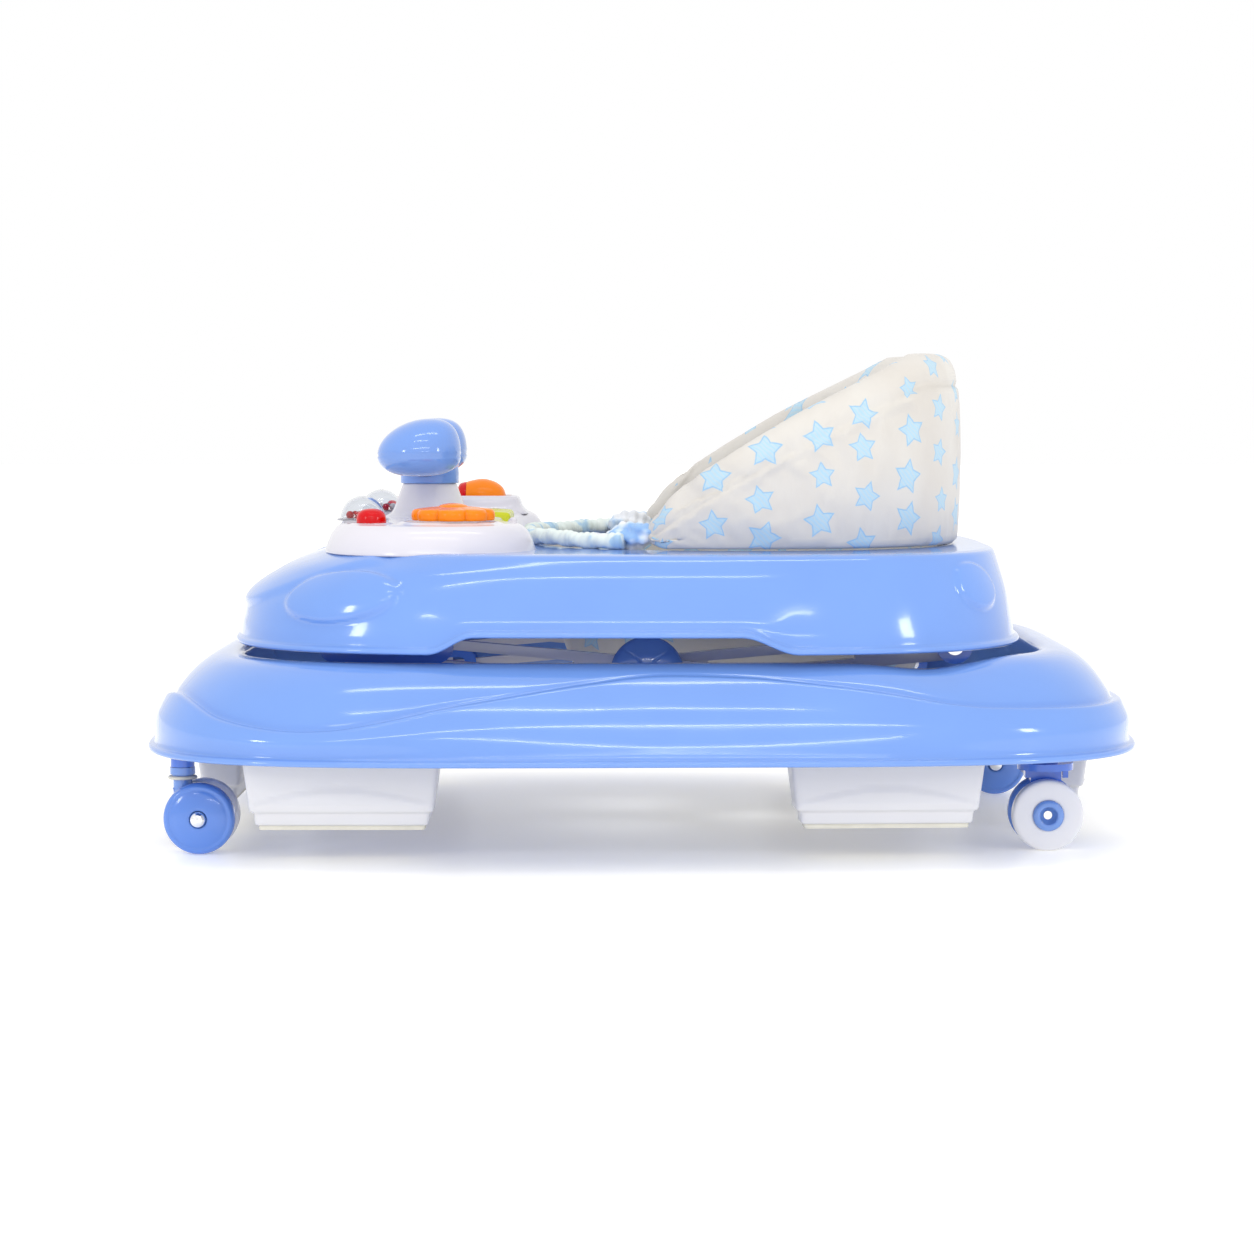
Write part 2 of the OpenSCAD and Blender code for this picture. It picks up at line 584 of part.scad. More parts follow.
union() { tray_pivot_bracket(-1); tray_pivot_bracket(1); }  // tray_pivot_brackets
tray_slide_rail(-1);  // tray_slide_rail_left
tray_slide_rail(1);  // tray_slide_rail_right
pivot_pins(high_z);  // tray_pivot_pins
height_lock();
lock_hinge();
seat_cover();
seat_sling();
seat_front_rim();
play_tray();
steering_column();
steering_handle();
rattle_domes();
rattle_beads();
flower_button();
red_button(-1);  // red_button_left
red_button(1);  // red_button_right
piano_key(1);  // piano_key_1
piano_key(2);  // piano_key_2
piano_key(3);  // piano_key_3
roller_housing();
roller();
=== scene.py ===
"""Baby walker: the looks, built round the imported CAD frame.

The shapes' own sizes are in mm, and become metres in make_piece. Camera, lights and materials are in metres.
"""
import math
import random

import bmesh
import bpy
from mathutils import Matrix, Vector


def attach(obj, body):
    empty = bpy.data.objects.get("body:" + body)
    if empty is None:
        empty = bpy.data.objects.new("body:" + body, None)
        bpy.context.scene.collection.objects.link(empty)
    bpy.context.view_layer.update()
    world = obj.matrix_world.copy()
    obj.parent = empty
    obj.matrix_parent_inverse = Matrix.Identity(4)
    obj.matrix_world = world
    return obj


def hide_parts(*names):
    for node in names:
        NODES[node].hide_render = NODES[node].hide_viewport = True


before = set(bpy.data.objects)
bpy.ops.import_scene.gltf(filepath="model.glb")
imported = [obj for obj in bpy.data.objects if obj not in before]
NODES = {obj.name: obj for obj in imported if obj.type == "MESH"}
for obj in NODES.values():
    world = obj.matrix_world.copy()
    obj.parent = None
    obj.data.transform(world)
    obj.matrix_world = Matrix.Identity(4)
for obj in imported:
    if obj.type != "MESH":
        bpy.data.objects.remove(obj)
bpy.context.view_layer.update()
MM = 0.001
BOTH_SIDES = ((-1, "left"), (1, "right"))
random.seed(7)


# ---------- camera, lights and floor ----------

CAMERA_AT = (-0.0115, -2.45, 0.32)
CAMERA_DOWN = 4.02
FLOOR_HALF = 14.0


def look_at(obj, target):
    obj.rotation_euler = (Vector(target) - obj.location).to_track_quat("-Z", "Y").to_euler()


def make_camera():
    data = bpy.data.cameras.new("camera")
    data.lens = 91.5
    data.sensor_width = 36
    cam = bpy.data.objects.new("camera", data)
    bpy.context.scene.collection.objects.link(cam)
    cam.location = CAMERA_AT
    cam.rotation_euler = (math.radians(90 - CAMERA_DOWN), 0, 0)
    bpy.context.scene.camera = cam


def area_light(name, place, target, size, power):
    data = bpy.data.lights.new(name, "AREA")
    data.shape = "RECTANGLE"
    data.size, data.size_y = size
    data.energy = power
    light = bpy.data.objects.new(name, data)
    bpy.context.scene.collection.objects.link(light)
    light.location = place
    look_at(light, target)


def make_studio():
    bpy.context.scene.view_settings.view_transform = "Standard"
    world = bpy.data.worlds.new("studio")
    bpy.context.scene.world = world
    world.use_nodes = True
    world.node_tree.nodes["Background"].inputs["Color"].default_value = (1.0, 1.0, 1.0, 1)
    world.node_tree.nodes["Background"].inputs["Strength"].default_value = 1.0
    area_light("top_strip", (0.05, -0.45, 1.7), (0, 0, 0.1), (1.3, 0.08), 2.6)
    area_light("front_strip", (-0.1, -1.9, 1.15), (0, 0, 0.12), (1.5, 0.035), 2.6)
    area_light("upper_strip", (-0.2, -1.45, 1.9), (0, 0, 0.12), (1.1, 0.024), 1.8)
    area_light("low_strip", (0.2, -1.95, 0.62), (0.1, 0, 0.15), (0.8, 0.025), 1.0)
    area_light("left_softbox", (-1.45, -1.5, 0.75), (-0.1, 0, 0.15), (0.2, 0.42), 3.2)
    area_light("right_softbox", (1.5, -1.35, 0.7), (0.2, 0, 0.15), (0.2, 0.42), 3.2)
    mesh = bpy.data.meshes.new("floor")
    s = FLOOR_HALF
    mesh.from_pydata([(-s, -s, 0), (s, -s, 0), (s, s, 0), (-s, s, 0)], [], [(0, 1, 2, 3)])
    floor = bpy.data.objects.new("floor", mesh)
    bpy.context.scene.collection.objects.link(floor)
    m = bpy.data.materials.new("floor")
    m.use_nodes = True
    shader = m.node_tree.nodes["Principled BSDF"]
    shader.inputs["Base Color"].default_value = (0.985, 0.985, 0.98, 1)
    shader.inputs["Roughness"].default_value = 0.35
    shader.inputs["Specular IOR Level"].default_value = 0.3
    shader.inputs["Emission Color"].default_value = (1, 0.96, 0.85, 1)
    shader.inputs["Emission Strength"].default_value = 0.26
    floor.data.materials.append(m)


make_camera()
make_studio()


# ---------- shapes shared with the CAD ----------

def signed_pow(v, e):
    return math.copysign(abs(v) ** e, v)


def oblong(a, b, n, dx, t, taper=0.0):
    """A point on a rounded oblong, in mm."""
    x = dx + a * signed_pow(math.cos(t), 2 / n)
    return x, b * signed_pow(math.sin(t), 2 / n) * (1 - taper * (x / 700 + 0.5))


def even_angles(a, b, n, count):
    """Angles that space points evenly along an oblong."""
    fine = 7200
    pts = [oblong(a, b, n, 0, 2 * math.pi * i / fine) for i in range(fine + 1)]
    run = [0.0]
    for p, q in zip(pts, pts[1:]):
        run.append(run[-1] + math.dist(p, q))
    out, j = [], 0
    for i in range(count):
        want = run[-1] * i / count
        while run[j + 1] < want:
            j += 1
        part = (want - run[j]) / max(run[j + 1] - run[j], 1e-9)
        out.append(2 * math.pi * (j + part) / fine)
    return out


def smoothstep(v):
    c = min(1.0, max(0.0, v))
    return c * c * (3 - 2 * c)


def mix(a, b, f):
    return a + (b - a) * f


def spline(points, steps):
    """Catmull-Rom through the points, with so many steps between each two."""
    p = [Vector(q) for q in points]
    p = [2 * p[0] - p[1]] + p + [2 * p[-1] - p[-2]]
    out = []
    for i in range(1, len(p) - 2):
        for k in range(steps):
            t = k / steps
            a, b, c, d = p[i - 1], p[i], p[i + 1], p[i + 2]
            out.append(0.5 * ((2 * b) + (c - a) * t + (2 * a - 5 * b + 4 * c - d) * t * t
                              + (3 * b - a - 3 * c + d) * t ** 3))
    out.append(p[-2])
    return out


def interpolate(table, x):
    """A smooth curve through (x, value) pairs."""
    if x <= table[0][0]:
        return table[0][1]
    for i, ((x0, y0), (x1, y1)) in enumerate(zip(table, table[1:])):
        if x <= x1:
            before = table[i - 1] if i else (2 * x0 - x1, y0)
            after = table[i + 2] if i + 2 < len(table) else (2 * x1 - x0, y1)
            m0 = (y1 - before[1]) / (x1 - before[0])
            m1 = (after[1] - y0) / (after[0] - x0)
            t, h = (x - x0) / (x1 - x0), x1 - x0
            return ((2 * t ** 3 - 3 * t * t + 1) * y0 + (t ** 3 - 2 * t * t + t) * h * m0
                    + (3 * t * t - 2 * t ** 3) * y1 + (t ** 3 - t * t) * h * m1)
    return table[-1][1]


def make_piece(name, verts, faces, body, nodes, uv=None):
    """A piece from vertices in mm. It rides on body, and stands for the CAD nodes named."""
    mesh = bpy.data.meshes.new(name)
    mesh.from_pydata([Vector(v) * MM for v in verts], [], faces)
    if uv:
        layer = mesh.uv_layers.new(name="cut")
        for loop in mesh.loops:
            layer.data[loop.index].uv = uv[loop.vertex_index]
    tidy = bmesh.new()
    tidy.from_mesh(mesh)
    bmesh.ops.recalc_face_normals(tidy, faces=tidy.faces)
    tidy.to_mesh(mesh)
    tidy.free()
    mesh.update()
    for polygon in mesh.polygons:
        polygon.use_smooth = True
    piece = bpy.data.objects.new(name, mesh)
    bpy.context.scene.collection.objects.link(piece)
    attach(piece, body)
    if nodes:
        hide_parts(*nodes)
    return piece


def grid_faces(rows, cols, wrap_rows=True, wrap_cols=True):
    """Quads over a grid of vertices stored row by row."""
    faces = []
    for j in range(rows if wrap_rows else rows - 1):
        for k in range(cols if wrap_cols else cols - 1):
            a, b = j * cols + k, j * cols + (k + 1) % cols
            c, d = ((j + 1) % rows) * cols + (k + 1) % cols, ((j + 1) % rows) * cols + k
            faces.append((a, d, c, b))
    return faces


def surface(name, rings, body, nodes, material):
    """A piece through closed rings of points, open at both ends."""
    count = len(rings[0])
    verts = [p for ring in rings for p in ring]
    piece = make_piece(name, verts, grid_faces(len(rings), count, wrap_rows=False), body, nodes)
    piece.data.materials.append(material)
    return piece


# ---------- materials ----------

class Shader:
    """Shortens the making of a node material."""

    def __init__(self, name):
        self.material = bpy.data.materials.new(name)
        self.material.use_nodes = True
        self.tree = self.material.node_tree
        self.out = self.tree.nodes["Principled BSDF"]

    def node(self, kind, **values):
        n = self.tree.nodes.new(kind)
        for key, value in values.items():
            if hasattr(n, key):
                setattr(n, key, value)
            else:
                n.inputs[key.replace("_", " ")].default_value = value
        return n

    def link(self, a, b):
        self.tree.links.new(a, b)

    def math(self, operation, a, b=None, c=None):
        n = self.tree.nodes.new("ShaderNodeMath")
        n.operation = operation
        for i, v in enumerate((a, b, c)):
            if v is None:
                continue
            if isinstance(v, (int, float)):
                n.inputs[i].default_value = v
            else:
                self.link(v, n.inputs[i])
        return n.outputs[0]

    def set(self, **values):
        for key, value in values.items():
            self.out.inputs[key.replace("_", " ")].default_value = value

    def split(self, vector):
        n = self.node("ShaderNodeSeparateXYZ")
        self.link(vector, n.inputs[0])
        return n.outputs

    def noise(self, scale, detail=3.0, rough=0.5):
        n = self.node("ShaderNodeTexNoise", Scale=scale, Detail=detail, Roughness=rough)
        self.link(self.node("ShaderNodeTexCoord").outputs["Object"], n.inputs["Vector"])
        return n.outputs["Fac"]

    def ramp(self, fac, stops):
        n = self.node("ShaderNodeValToRGB")
        ramp = n.color_ramp
        while len(ramp.elements) < len(stops):
            ramp.elements.new(0.5)
        for e, (pos, colour) in zip(ramp.elements, stops):
            e.position = pos
            e.color = (*colour, 1)
        self.link(fac, n.inputs["Fac"])
        return n.outputs["Color"]

    def mix_colour(self, fac, a, b):
        n = self.node("ShaderNodeMix", data_type="RGBA")
        for socket, v in ((n.inputs["Factor"], fac), (n.inputs[6], a), (n.inputs[7], b)):
            if isinstance(v, tuple):
                socket.default_value = (*v, 1)
            else:
                self.link(v, socket)
        return n.outputs[2]

    def bump(self, height, strength, distance, after=None):
        n = self.node("ShaderNodeBump", Strength=strength, Distance=distance)
        self.link(height, n.inputs["Height"])
        if after:
            self.link(after, n.inputs["Normal"])
        return n.outputs["Normal"]


def moulded_plastic(name, colour, roughness=0.16, coat=0.5, wave=0.35, speck=0.03, specular=0.5):
    """Glossy moulded plastic: slight colour drift, soft sink marks, fine scuffs in the gloss."""
    s = Shader(name)
    dark = tuple(c * (1 - speck) for c in colour)
    light = tuple(min(1, c * (1 + speck)) for c in colour)
    s.link(s.ramp(s.noise(14), [(0.3, dark), (0.7, light)]), s.out.inputs["Base Color"])
    scuffs = s.noise(160, 6, rough=0.7)
    gloss = s.math("MULTIPLY_ADD", scuffs, 0.10, roughness - 0.05)
    s.link(gloss, s.out.inputs["Roughness"])
    sink = s.bump(s.noise(13, 1.5), wave * 0.10, 0.01)
    skin = s.bump(s.noise(900, 2), 0.02, 0.0005, sink)
    s.link(skin, s.out.inputs["Normal"])
    s.set(Coat_Weight=coat, Coat_Roughness=0.05, Specular_IOR_Level=specular)
    return s.material


def rubber(name, colour):
    s = Shader(name)
    dull = tuple(c * 0.9 for c in colour)
    s.link(s.ramp(s.noise(60), [(0.3, dull), (0.7, colour)]), s.out.inputs["Base Color"])
    s.link(s.bump(s.noise(1400, 3), 0.25, 0.0004), s.out.inputs["Normal"])
    s.set(Roughness=0.62)
    return s.material


def metal(name, colour, roughness):
    s = Shader(name)
    s.set(Base_Color=(*colour, 1), Metallic=1.0)
    brushed = s.noise(240, 4, rough=0.7)
    s.link(s.math("MULTIPLY_ADD", brushed, 0.12, roughness), s.out.inputs["Roughness"])
    s.link(s.bump(brushed, 0.04, 0.0003), s.out.inputs["Normal"])
    return s.material


def clear_plastic(name):
    s = Shader(name)
    s.set(Base_Color=(0.88, 0.90, 0.93, 1), Transmission_Weight=1.0, IOR=1.46)
    s.link(s.math("MULTIPLY_ADD", s.noise(120, 4), 0.06, 0.0), s.out.inputs["Roughness"])
    return s.material


BLUE = (0.163, 0.317, 0.75)
DEEP = (0.07, 0.2, 0.75)
WHITE = (0.69, 0.67, 0.73)
blue_plastic = moulded_plastic("blue_plastic", BLUE, 0.13, wave=0.9)
deep_plastic = moulded_plastic("deep_blue_plastic", DEEP, 0.2)
wheel_plastic = moulded_plastic("wheel_plastic", (0.105, 0.25, 0.73), 0.2)
white_plastic = moulded_plastic("white_plastic", WHITE, 0.18, 0.3)
tyre_plastic = moulded_plastic("tyre_plastic", (0.80, 0.80, 0.84), 0.3, 0.3)
box_plastic = moulded_plastic("box_plastic", (0.70, 0.70, 0.735), 0.3, 0.2, 0.1, 0.015)
orange_plastic = moulded_plastic("orange_plastic", (0.95, 0.235, 0.0), 0.22, 0.0, specular=0.3)
red_plastic = moulded_plastic("red_plastic", (0.62, 0.0, 0.004), 0.1, 0.0, specular=0.3)
lime_plastic = moulded_plastic("lime_plastic", (0.55, 0.58, 0.01), 0.22, 0.0, specular=0.3)
pad_rubber = rubber("pad_rubber", (0.72, 0.70, 0.62))
bright_steel = metal("bright_steel", (0.85, 0.86, 0.88), 0.08)
clear = clear_plastic("clear_plastic")
dark_plastic = moulded_plastic("dark_plastic", (0.05, 0.02, 0.05), 0.2)


# Stars on the outside of the cover, a staggered lattice with a little scatter: distance from the middle
# of its back, height and radius, in mm
STAR_PITCH = (38, 32)
STAR_ROWS, STAR_COLUMNS = 5, 9
STAR_SCATTER = 4.0
STARS = []
for column in range(STAR_COLUMNS):
    for line in range(STAR_ROWS):
        across = STAR_PITCH[0] * (column + 0.5) + random.uniform(-STAR_SCATTER, STAR_SCATTER)
        up = STAR_PITCH[1] * (line + 0.5 * (column % 2)) + 6 + random.uniform(-STAR_SCATTER, STAR_SCATTER)
        STARS.append((across, up, random.uniform(9.5, 14.0)))


def star_pattern(s, x, y, radius, turn, jitter):
    """Fill and outline masks of a five-pointed star, from the offset to its centre."""
    fifth, half_point = 2 * math.pi / 5, math.pi / 5
    dent = 0.53
    angle = s.math("ADD", s.math("ARCTAN2", x, y), turn)
    off_dent = s.math("ABSOLUTE", s.math("SUBTRACT", s.math("FLOORED_MODULO", angle, fifth), fifth / 2))
    a = s.math("SUBTRACT", fifth / 2, off_dent)
    far = s.math("SQRT", s.math("ADD", s.math("MULTIPLY", x, x), s.math("MULTIPLY", y, y)))
    rest = s.math("MULTIPLY", s.math("SINE", s.math("SUBTRACT", half_point, a)), dent)
    under = s.math("ADD", s.math("SINE", a), rest)
    edge = s.math("DIVIDE", s.math("MULTIPLY", radius, dent * math.sin(half_point)), under)
    share = s.math("ADD", s.math("DIVIDE", far, s.math("MAXIMUM", edge, 0.0001)), jitter)
    inside = s.math("MULTIPLY", s.math("SUBTRACT", 1.0, share), 22.0)
    off_line = s.math("ABSOLUTE", s.math("SUBTRACT", share, 0.91))
    band = s.math("SUBTRACT", 1.0, s.math("MULTIPLY", off_line, 8.0))
    masks = []
    for value in (inside, band):
        clamp = s.node("ShaderNodeClamp")
        s.link(value, clamp.inputs["Value"])
        masks.append(clamp.outputs[0])
    return masks


def laid_out_stars(s, uv):
    """Offset to the nearest of STARS, mirrored about the middle of the back, and that star's radius and turn.

    A star's third coordinate carries its radius.
    """
    across, up, _ = s.split(uv)
    along = s.math("ABSOLUTE", across)
    place = s.node("ShaderNodeCombineXYZ")
    s.link(along, place.inputs[0])
    s.link(up, place.inputs[1])
    centre, nearest = place.outputs[0], 1.0
    for star in STARS:
        gap = s.node("ShaderNodeVectorMath", operation="DISTANCE")
        s.link(place.outputs[0], gap.inputs[0])
        pick = s.node("ShaderNodeMix", data_type="VECTOR")
        for socket in (gap.inputs[1], pick.inputs[5]):
            socket.default_value = [c * MM for c in star]
        d = s.math("SUBTRACT", gap.outputs["Value"], star[2] * MM)
        s.link(s.math("LESS_THAN", d, nearest), pick.inputs["Factor"])
        s.link(centre, pick.inputs[4])
        centre, nearest = pick.outputs[1], s.math("MINIMUM", d, nearest)
    x, y, radius = s.split(centre)
    turn = s.math("MULTIPLY", s.math("SINE", s.math("MULTIPLY", x, 997.0)), 0.3)
    return s.math("SUBTRACT", along, x), s.math("SUBTRACT", up, y), radius, turn


def scattered_stars(s, uv):
    """The same four values for stars at a Voronoi texture's points."""
    along, up, _ = s.split(uv)
    cells = s.node("ShaderNodeTexVoronoi", voronoi_dimensions="2D", Scale=27.0, Randomness=0.5)
    s.link(uv, cells.inputs["Vector"])
    x, y, _ = s.split(cells.outputs["Position"])
    tone = s.node("ShaderNodeSeparateColor")
    s.link(cells.outputs["Color"], tone.inputs[0])
    radius = s.math("MULTIPLY_ADD", tone.outputs[0], 0.005, 0.008)
    return s.math("SUBTRACT", along, x), s.math("SUBTRACT", up, y), radius, tone.outputs[1]


def star_cloth(name, stars):
    """Warm white cloth with pale blue stars that look drawn by hand. stars places them."""
    s = Shader(name)
    uv = s.node("ShaderNodeUVMap", uv_map="cut").outputs["UV"]
    wobble = s.node("ShaderNodeTexNoise", Scale=170.0, Detail=2.0)
    s.link(uv, wobble.inputs["Vector"])
    jitter = s.math("MULTIPLY", s.math("SUBTRACT", wobble.outputs["Fac"], 0.5), 0.22)
    fill, line = star_pattern(s, *stars(s, uv), jitter)
    # Pencil strokes across each star
    stroke = s.node("ShaderNodeTexWave", Scale=150.0, Distortion=3.5, Detail=2.0, bands_direction="DIAGONAL")
    s.link(uv, stroke.inputs["Vector"])
    body = s.math("MULTIPLY", fill, s.math("MULTIPLY_ADD", stroke.outputs["Fac"], 0.34, 0.66))
    cloth = s.ramp(s.noise(22), [(0.3, (0.645, 0.61, 0.565)), (0.7, (0.70, 0.675, 0.635))])
    shaded = s.mix_colour(body, cloth, (0.43, 0.64, 0.78))
    drawn = s.mix_colour(s.math("MULTIPLY", line, 0.9), shaded, (0.27, 0.50, 0.74))
    s.link(drawn, s.out.inputs["Base Color"])
    weave = None
    for direction in ("X", "Y"):
        wave = s.node("ShaderNodeTexWave", Scale=560.0, Distortion=0.4, bands_direction=direction)
        s.link(uv, wave.inputs["Vector"])
        weave = wave.outputs["Fac"] if weave is None else s.math("ADD", weave, wave.outputs["Fac"])
    fine = s.bump(weave, 0.12, 0.0003)
    s.link(s.bump(s.noise(70, 4), 0.1, 0.0015, fine), s.out.inputs["Normal"])
    s.set(Roughness=0.78, Sheen_Weight=0.25, Sheen_Roughness=0.4, Specular_IOR_Level=0.3)
    return s.material


def tied_cloth(name, tints, scale):
    """Gathered cloth with soft stains of colour across it."""
    s = Shader(name)
    s.link(s.ramp(s.noise(scale, 2), tints), s.out.inputs["Base Color"])
    s.link(s.bump(s.noise(1500, 2), 0.2, 0.0004), s.out.inputs["Normal"])
    s.set(Roughness=0.75, Sheen_Weight=0.2)
    return s.material


star_outside = star_cloth("star_cloth_outside", laid_out_stars)
star_inside = star_cloth("star_cloth_inside", scattered_stars)
gathered_cloth = tied_cloth("gathered_cloth", [(0.38, (0.30, 0.50, 0.82)), (0.47, (0.62, 0.75, 0.9)),
                                               (0.56, (0.84, 0.86, 0.9))], 55)
elastic_trim = tied_cloth("elastic_trim", [(0.36, (0.42, 0.62, 0.8)), (0.42, (0.74, 0.83, 0.80)),
                                           (0.7, (0.80, 0.86, 0.82))], 48)


def dress(material, *names, bevel=0.0):
    """Gives CAD nodes a material, and rounds their sharp edges by bevel mm."""
    for name in names:
        node = NODES[name]
        node.data.materials.clear()
        node.data.materials.append(material)
        if bevel:
            m = node.modifiers.new("edges", "BEVEL")
            m.width = bevel * MM
            m.segments = 2
            m.limit_method = "ANGLE"
            m.angle_limit = math.radians(50)


for _, s in BOTH_SIDES:
    dress(blue_plastic, f"caster_fork_{s}", bevel=0.5)
    dress(deep_plastic, f"rear_wheel_bracket_{s}", f"base_slide_rail_{s}", f"tray_slide_rail_{s}", bevel=0.5)
    dress(white_plastic, f"outer_leg_{s}", f"inner_leg_{s}", bevel=1.0)
    dress(bright_steel, f"caster_axle_{s}")
dress(deep_plastic, "caster_sockets", "base_pivot_brackets", "tray_pivot_brackets", "lock_hinge", bevel=0.4)
dress(bright_steel, "rear_axles", "base_pivot_pins", "tray_pivot_pins", "upper_cross_tube",
      "lower_cross_tube")
dress(orange_plastic, "height_lock", bevel=0.5)
dress(pad_rubber, "stopper_pads")


# ---------- the two blue shells ----------

BASE_A, BASE_B, BASE_N, BASE_TAPER = 362, 301, 4.5, 0.06
BASE_STATIONS = 760

# How far in from the rim, and height, up the outside of the base
BASE_WALL = [(4.4, 77.2), (8.2, 90), (17, 108), (29, 124), (42, 134.5), (53, 138.6), (62, 139.2)]
BASE_RIM = [(3, 74), (2.6, 72.4), (1.2, 71.9), (0.1, 72.8), (0, 74.2), (0.8, 75.6), (2.4, 76.2),
            (3.8, 76.5)]
BASE_INSIDE = [(65.5, 138.4), (67.4, 136.4), (68, 133), (69, 110), (70, 78), (69.6, 76.3), (67.4, 76.3),
               (66.4, 90), (65.2, 132), (60, 135), (50, 134), (38, 127), (24, 111), (12, 92), (8, 79),
               (6, 75.5)]

# Height of the crease that runs round the base, by bearing from the rear
BASE_CREASE = [(0, 104), (18, 106), (28, 107), (36.6, 107.5), (46.7, 110), (50.2, 112.5), (55, 118),
               (61.8, 123.7), (72.3, 129.4), (78.5, 130.9), (85.7, 131.6), (90, 130.9), (96.8, 127.4),
               (103.2, 123), (112.8, 114.5), (116.5, 110.6), (122.8, 101.5), (127, 96.6), (132, 95.6),
               (139, 101.5), (144.3, 110), (148.5, 113.6), (153, 112.5), (160.5, 107), (170, 103),
               (180, 102)]
# How far the bumper below the crease stands out, by bearing
BASE_BULGE = [(0, 3.8), (20, 4.8), (34, 5.6), (48, 4.5), (60, 3.2), (90, 2.6), (120, 3.2), (132, 3.8),
              (143, 5.2), (152, 5.2), (162, 4.2), (180, 3.4)]


def by_length(points):
    """Points with the distance run so far."""
    run, out = 0.0, []
    for i, p in enumerate(points):
        if i:
            run += math.dist(p, points[i - 1])
        out.append((run, p))
    return out


def at_length(table, s):
    """Position and outward normal at distance s along a section."""
    for (s0, p), (s1, q) in zip(table, table[1:]):
        if s <= s1:
            break
    f = (s - s0) / max(s1 - s0, 1e-9)
    step = Vector((q[0] - p[0], q[1] - p[1])).normalized()
    return Vector((mix(p[0], q[0], f), mix(p[1], q[1], f))), Vector((-step[1], step[0]))


def crossing(table, z):
    """Distance along a section at which it reaches a height."""
    for (s0, p), (s1, q) in zip(table, table[1:]):
        if q[1] >= z:
            return mix(s0, s1, (z - p[1]) / (q[1] - p[1]))
    return table[-1][0]


def base_section(bearing, wall):
    """One section of the base, as (inset, height), with its crease where the bearing says."""
    length = wall[-1][0]
    crease_z = interpolate(BASE_CREASE, bearing)
    bulge = interpolate(BASE_BULGE, bearing)
    crease = crossing(wall, crease_z)
    near = [-7, -5, -3.6, -2.4, -1.5, -0.8, -0.3, 0, 0.5, 1.2, 2.2, 3.6]
    low = [(crease + near[0]) * i / 15 for i in range(15)]
    top_start = crease + near[-1]
    high = [top_start + (length - top_start) * i / 20 for i in range(1, 21)]
    out = list(BASE_RIM)
    for s in low + [crease + d for d in near] + high:
        p, n = at_length(wall, min(max(s, 0), length))
        under = crease - s
        if under > 0:
            rise = 1 - (1 - min(1, under / 4.2)) ** 2.4
            p = p + n * bulge * rise * smoothstep(s / (0.55 * crease))
        elif under > -4:
            p = p - n * 0.45 * math.sin(math.pi * -under / 4)
        out.append((p[0], p[1]))
    return out + BASE_INSIDE


def base_shell():
    wall = by_length([tuple(p) for p in spline(BASE_WALL, 40)])
    verts, rows = [], 0
    for t in even_angles(BASE_A, BASE_B, BASE_N, BASE_STATIONS):
        x, y = oblong(BASE_A, BASE_B, BASE_N, 0, t, BASE_TAPER)
        section = base_section(math.degrees(math.atan2(abs(y), x)), wall)
        rows = len(section)
        side = smoothstep((abs(y) - 150) / 90)
        dip = -5.0 * side * math.exp(-((x - 238) / 42) ** 2) + 2.5 * smoothstep((x - 270) / 50)
        for inset, z in section:
            px, py = oblong(BASE_A - inset, BASE_B - 0.98 * inset, BASE_N, 0, t, BASE_TAPER)
            verts.append((px, py, z + dip * smoothstep((z - 105) / 30)))
    return make_piece("base_shell", verts, grid_faces(BASE_STATIONS, rows), "base", ["base_skirt"])


TRAY_A, TRAY_B, TRAY_N, TRAY_STATIONS = 292, 255, 3.6, 760
TRAY_ARCH = 12
DECK, DECK_STEPS = 214.0, 8
SEAT_X, SEAT_A, SEAT_B, SEAT_N = 77, 157, 152, 2.3

# Inset along X, inset along Y, shift in X, height, share of the side arch
TRAY_RIM = [(3.4, 3.2, -11, 147.5, 1), (2.8, 2.6, -11, 146.2, 1), (1.2, 1.2, -11, 145.7, 1),
            (0.1, 0.1, -11, 146.7, 1), (0, 0, -11, 148.2, 1), (0.7, 0.7, -11, 149.5, 1),
            (2.2, 2.0, -11, 150.2, 1)]
TRAY_WALL = [(3.6, 3.2, -11, 151, 1), (5.6, 5.0, -11, 163, 0.6), (10.5, 10.5, -9.5, 182, 0.1),
             (24, 17.5, -1, 199, 0), (38, 24, 10, 208.5, 0), (45, 28.5, 15, 212.6, 0),
             (51, 34, 17, 213.9, 0)]
TRAY_UNDER = [(53, 36, 17, 211, 0), (44, 29, 13, 206, 0), (29, 22, 0, 196, 0), (15, 15, -9, 181, 0),
              (9.5, 9, -11, 163, 0.5), (7, 6.5, -11, 149, 1)]
TRAY_OPENING = [(7, 214), (2.6, 213.8), (0.8, 213), (0, 211.2), (0, 194), (1.2, 192.8), (2.6, 193.4),
                (3.4, 211)]

# The hood line over each front corner, x and height
HOOD = [(-290, 174), (-262, 184), (-232, 195.5), (-200, 205), (-180, 206.5)]


def side_arch(x, y):
    """Share of the arch that the tray's rim rises in, along the middle of each side."""
    along = smoothstep((x + 150) / 32) * smoothstep((108 - x) / 40)
    return smoothstep((abs(y) / TRAY_B - 0.72) / 0.2) * along


def oval(x, z, centre, half, tilt):
    """0 at the middle of a tilted oval, and 1 at its edge."""
    c, s = math.cos(math.radians(tilt)), math.sin(math.radians(tilt))
    dx, dz = x - centre[0], z - centre[1]
    return math.hypot((c * dx + s * dz) / half[0], (c * dz - s * dx) / half[1])


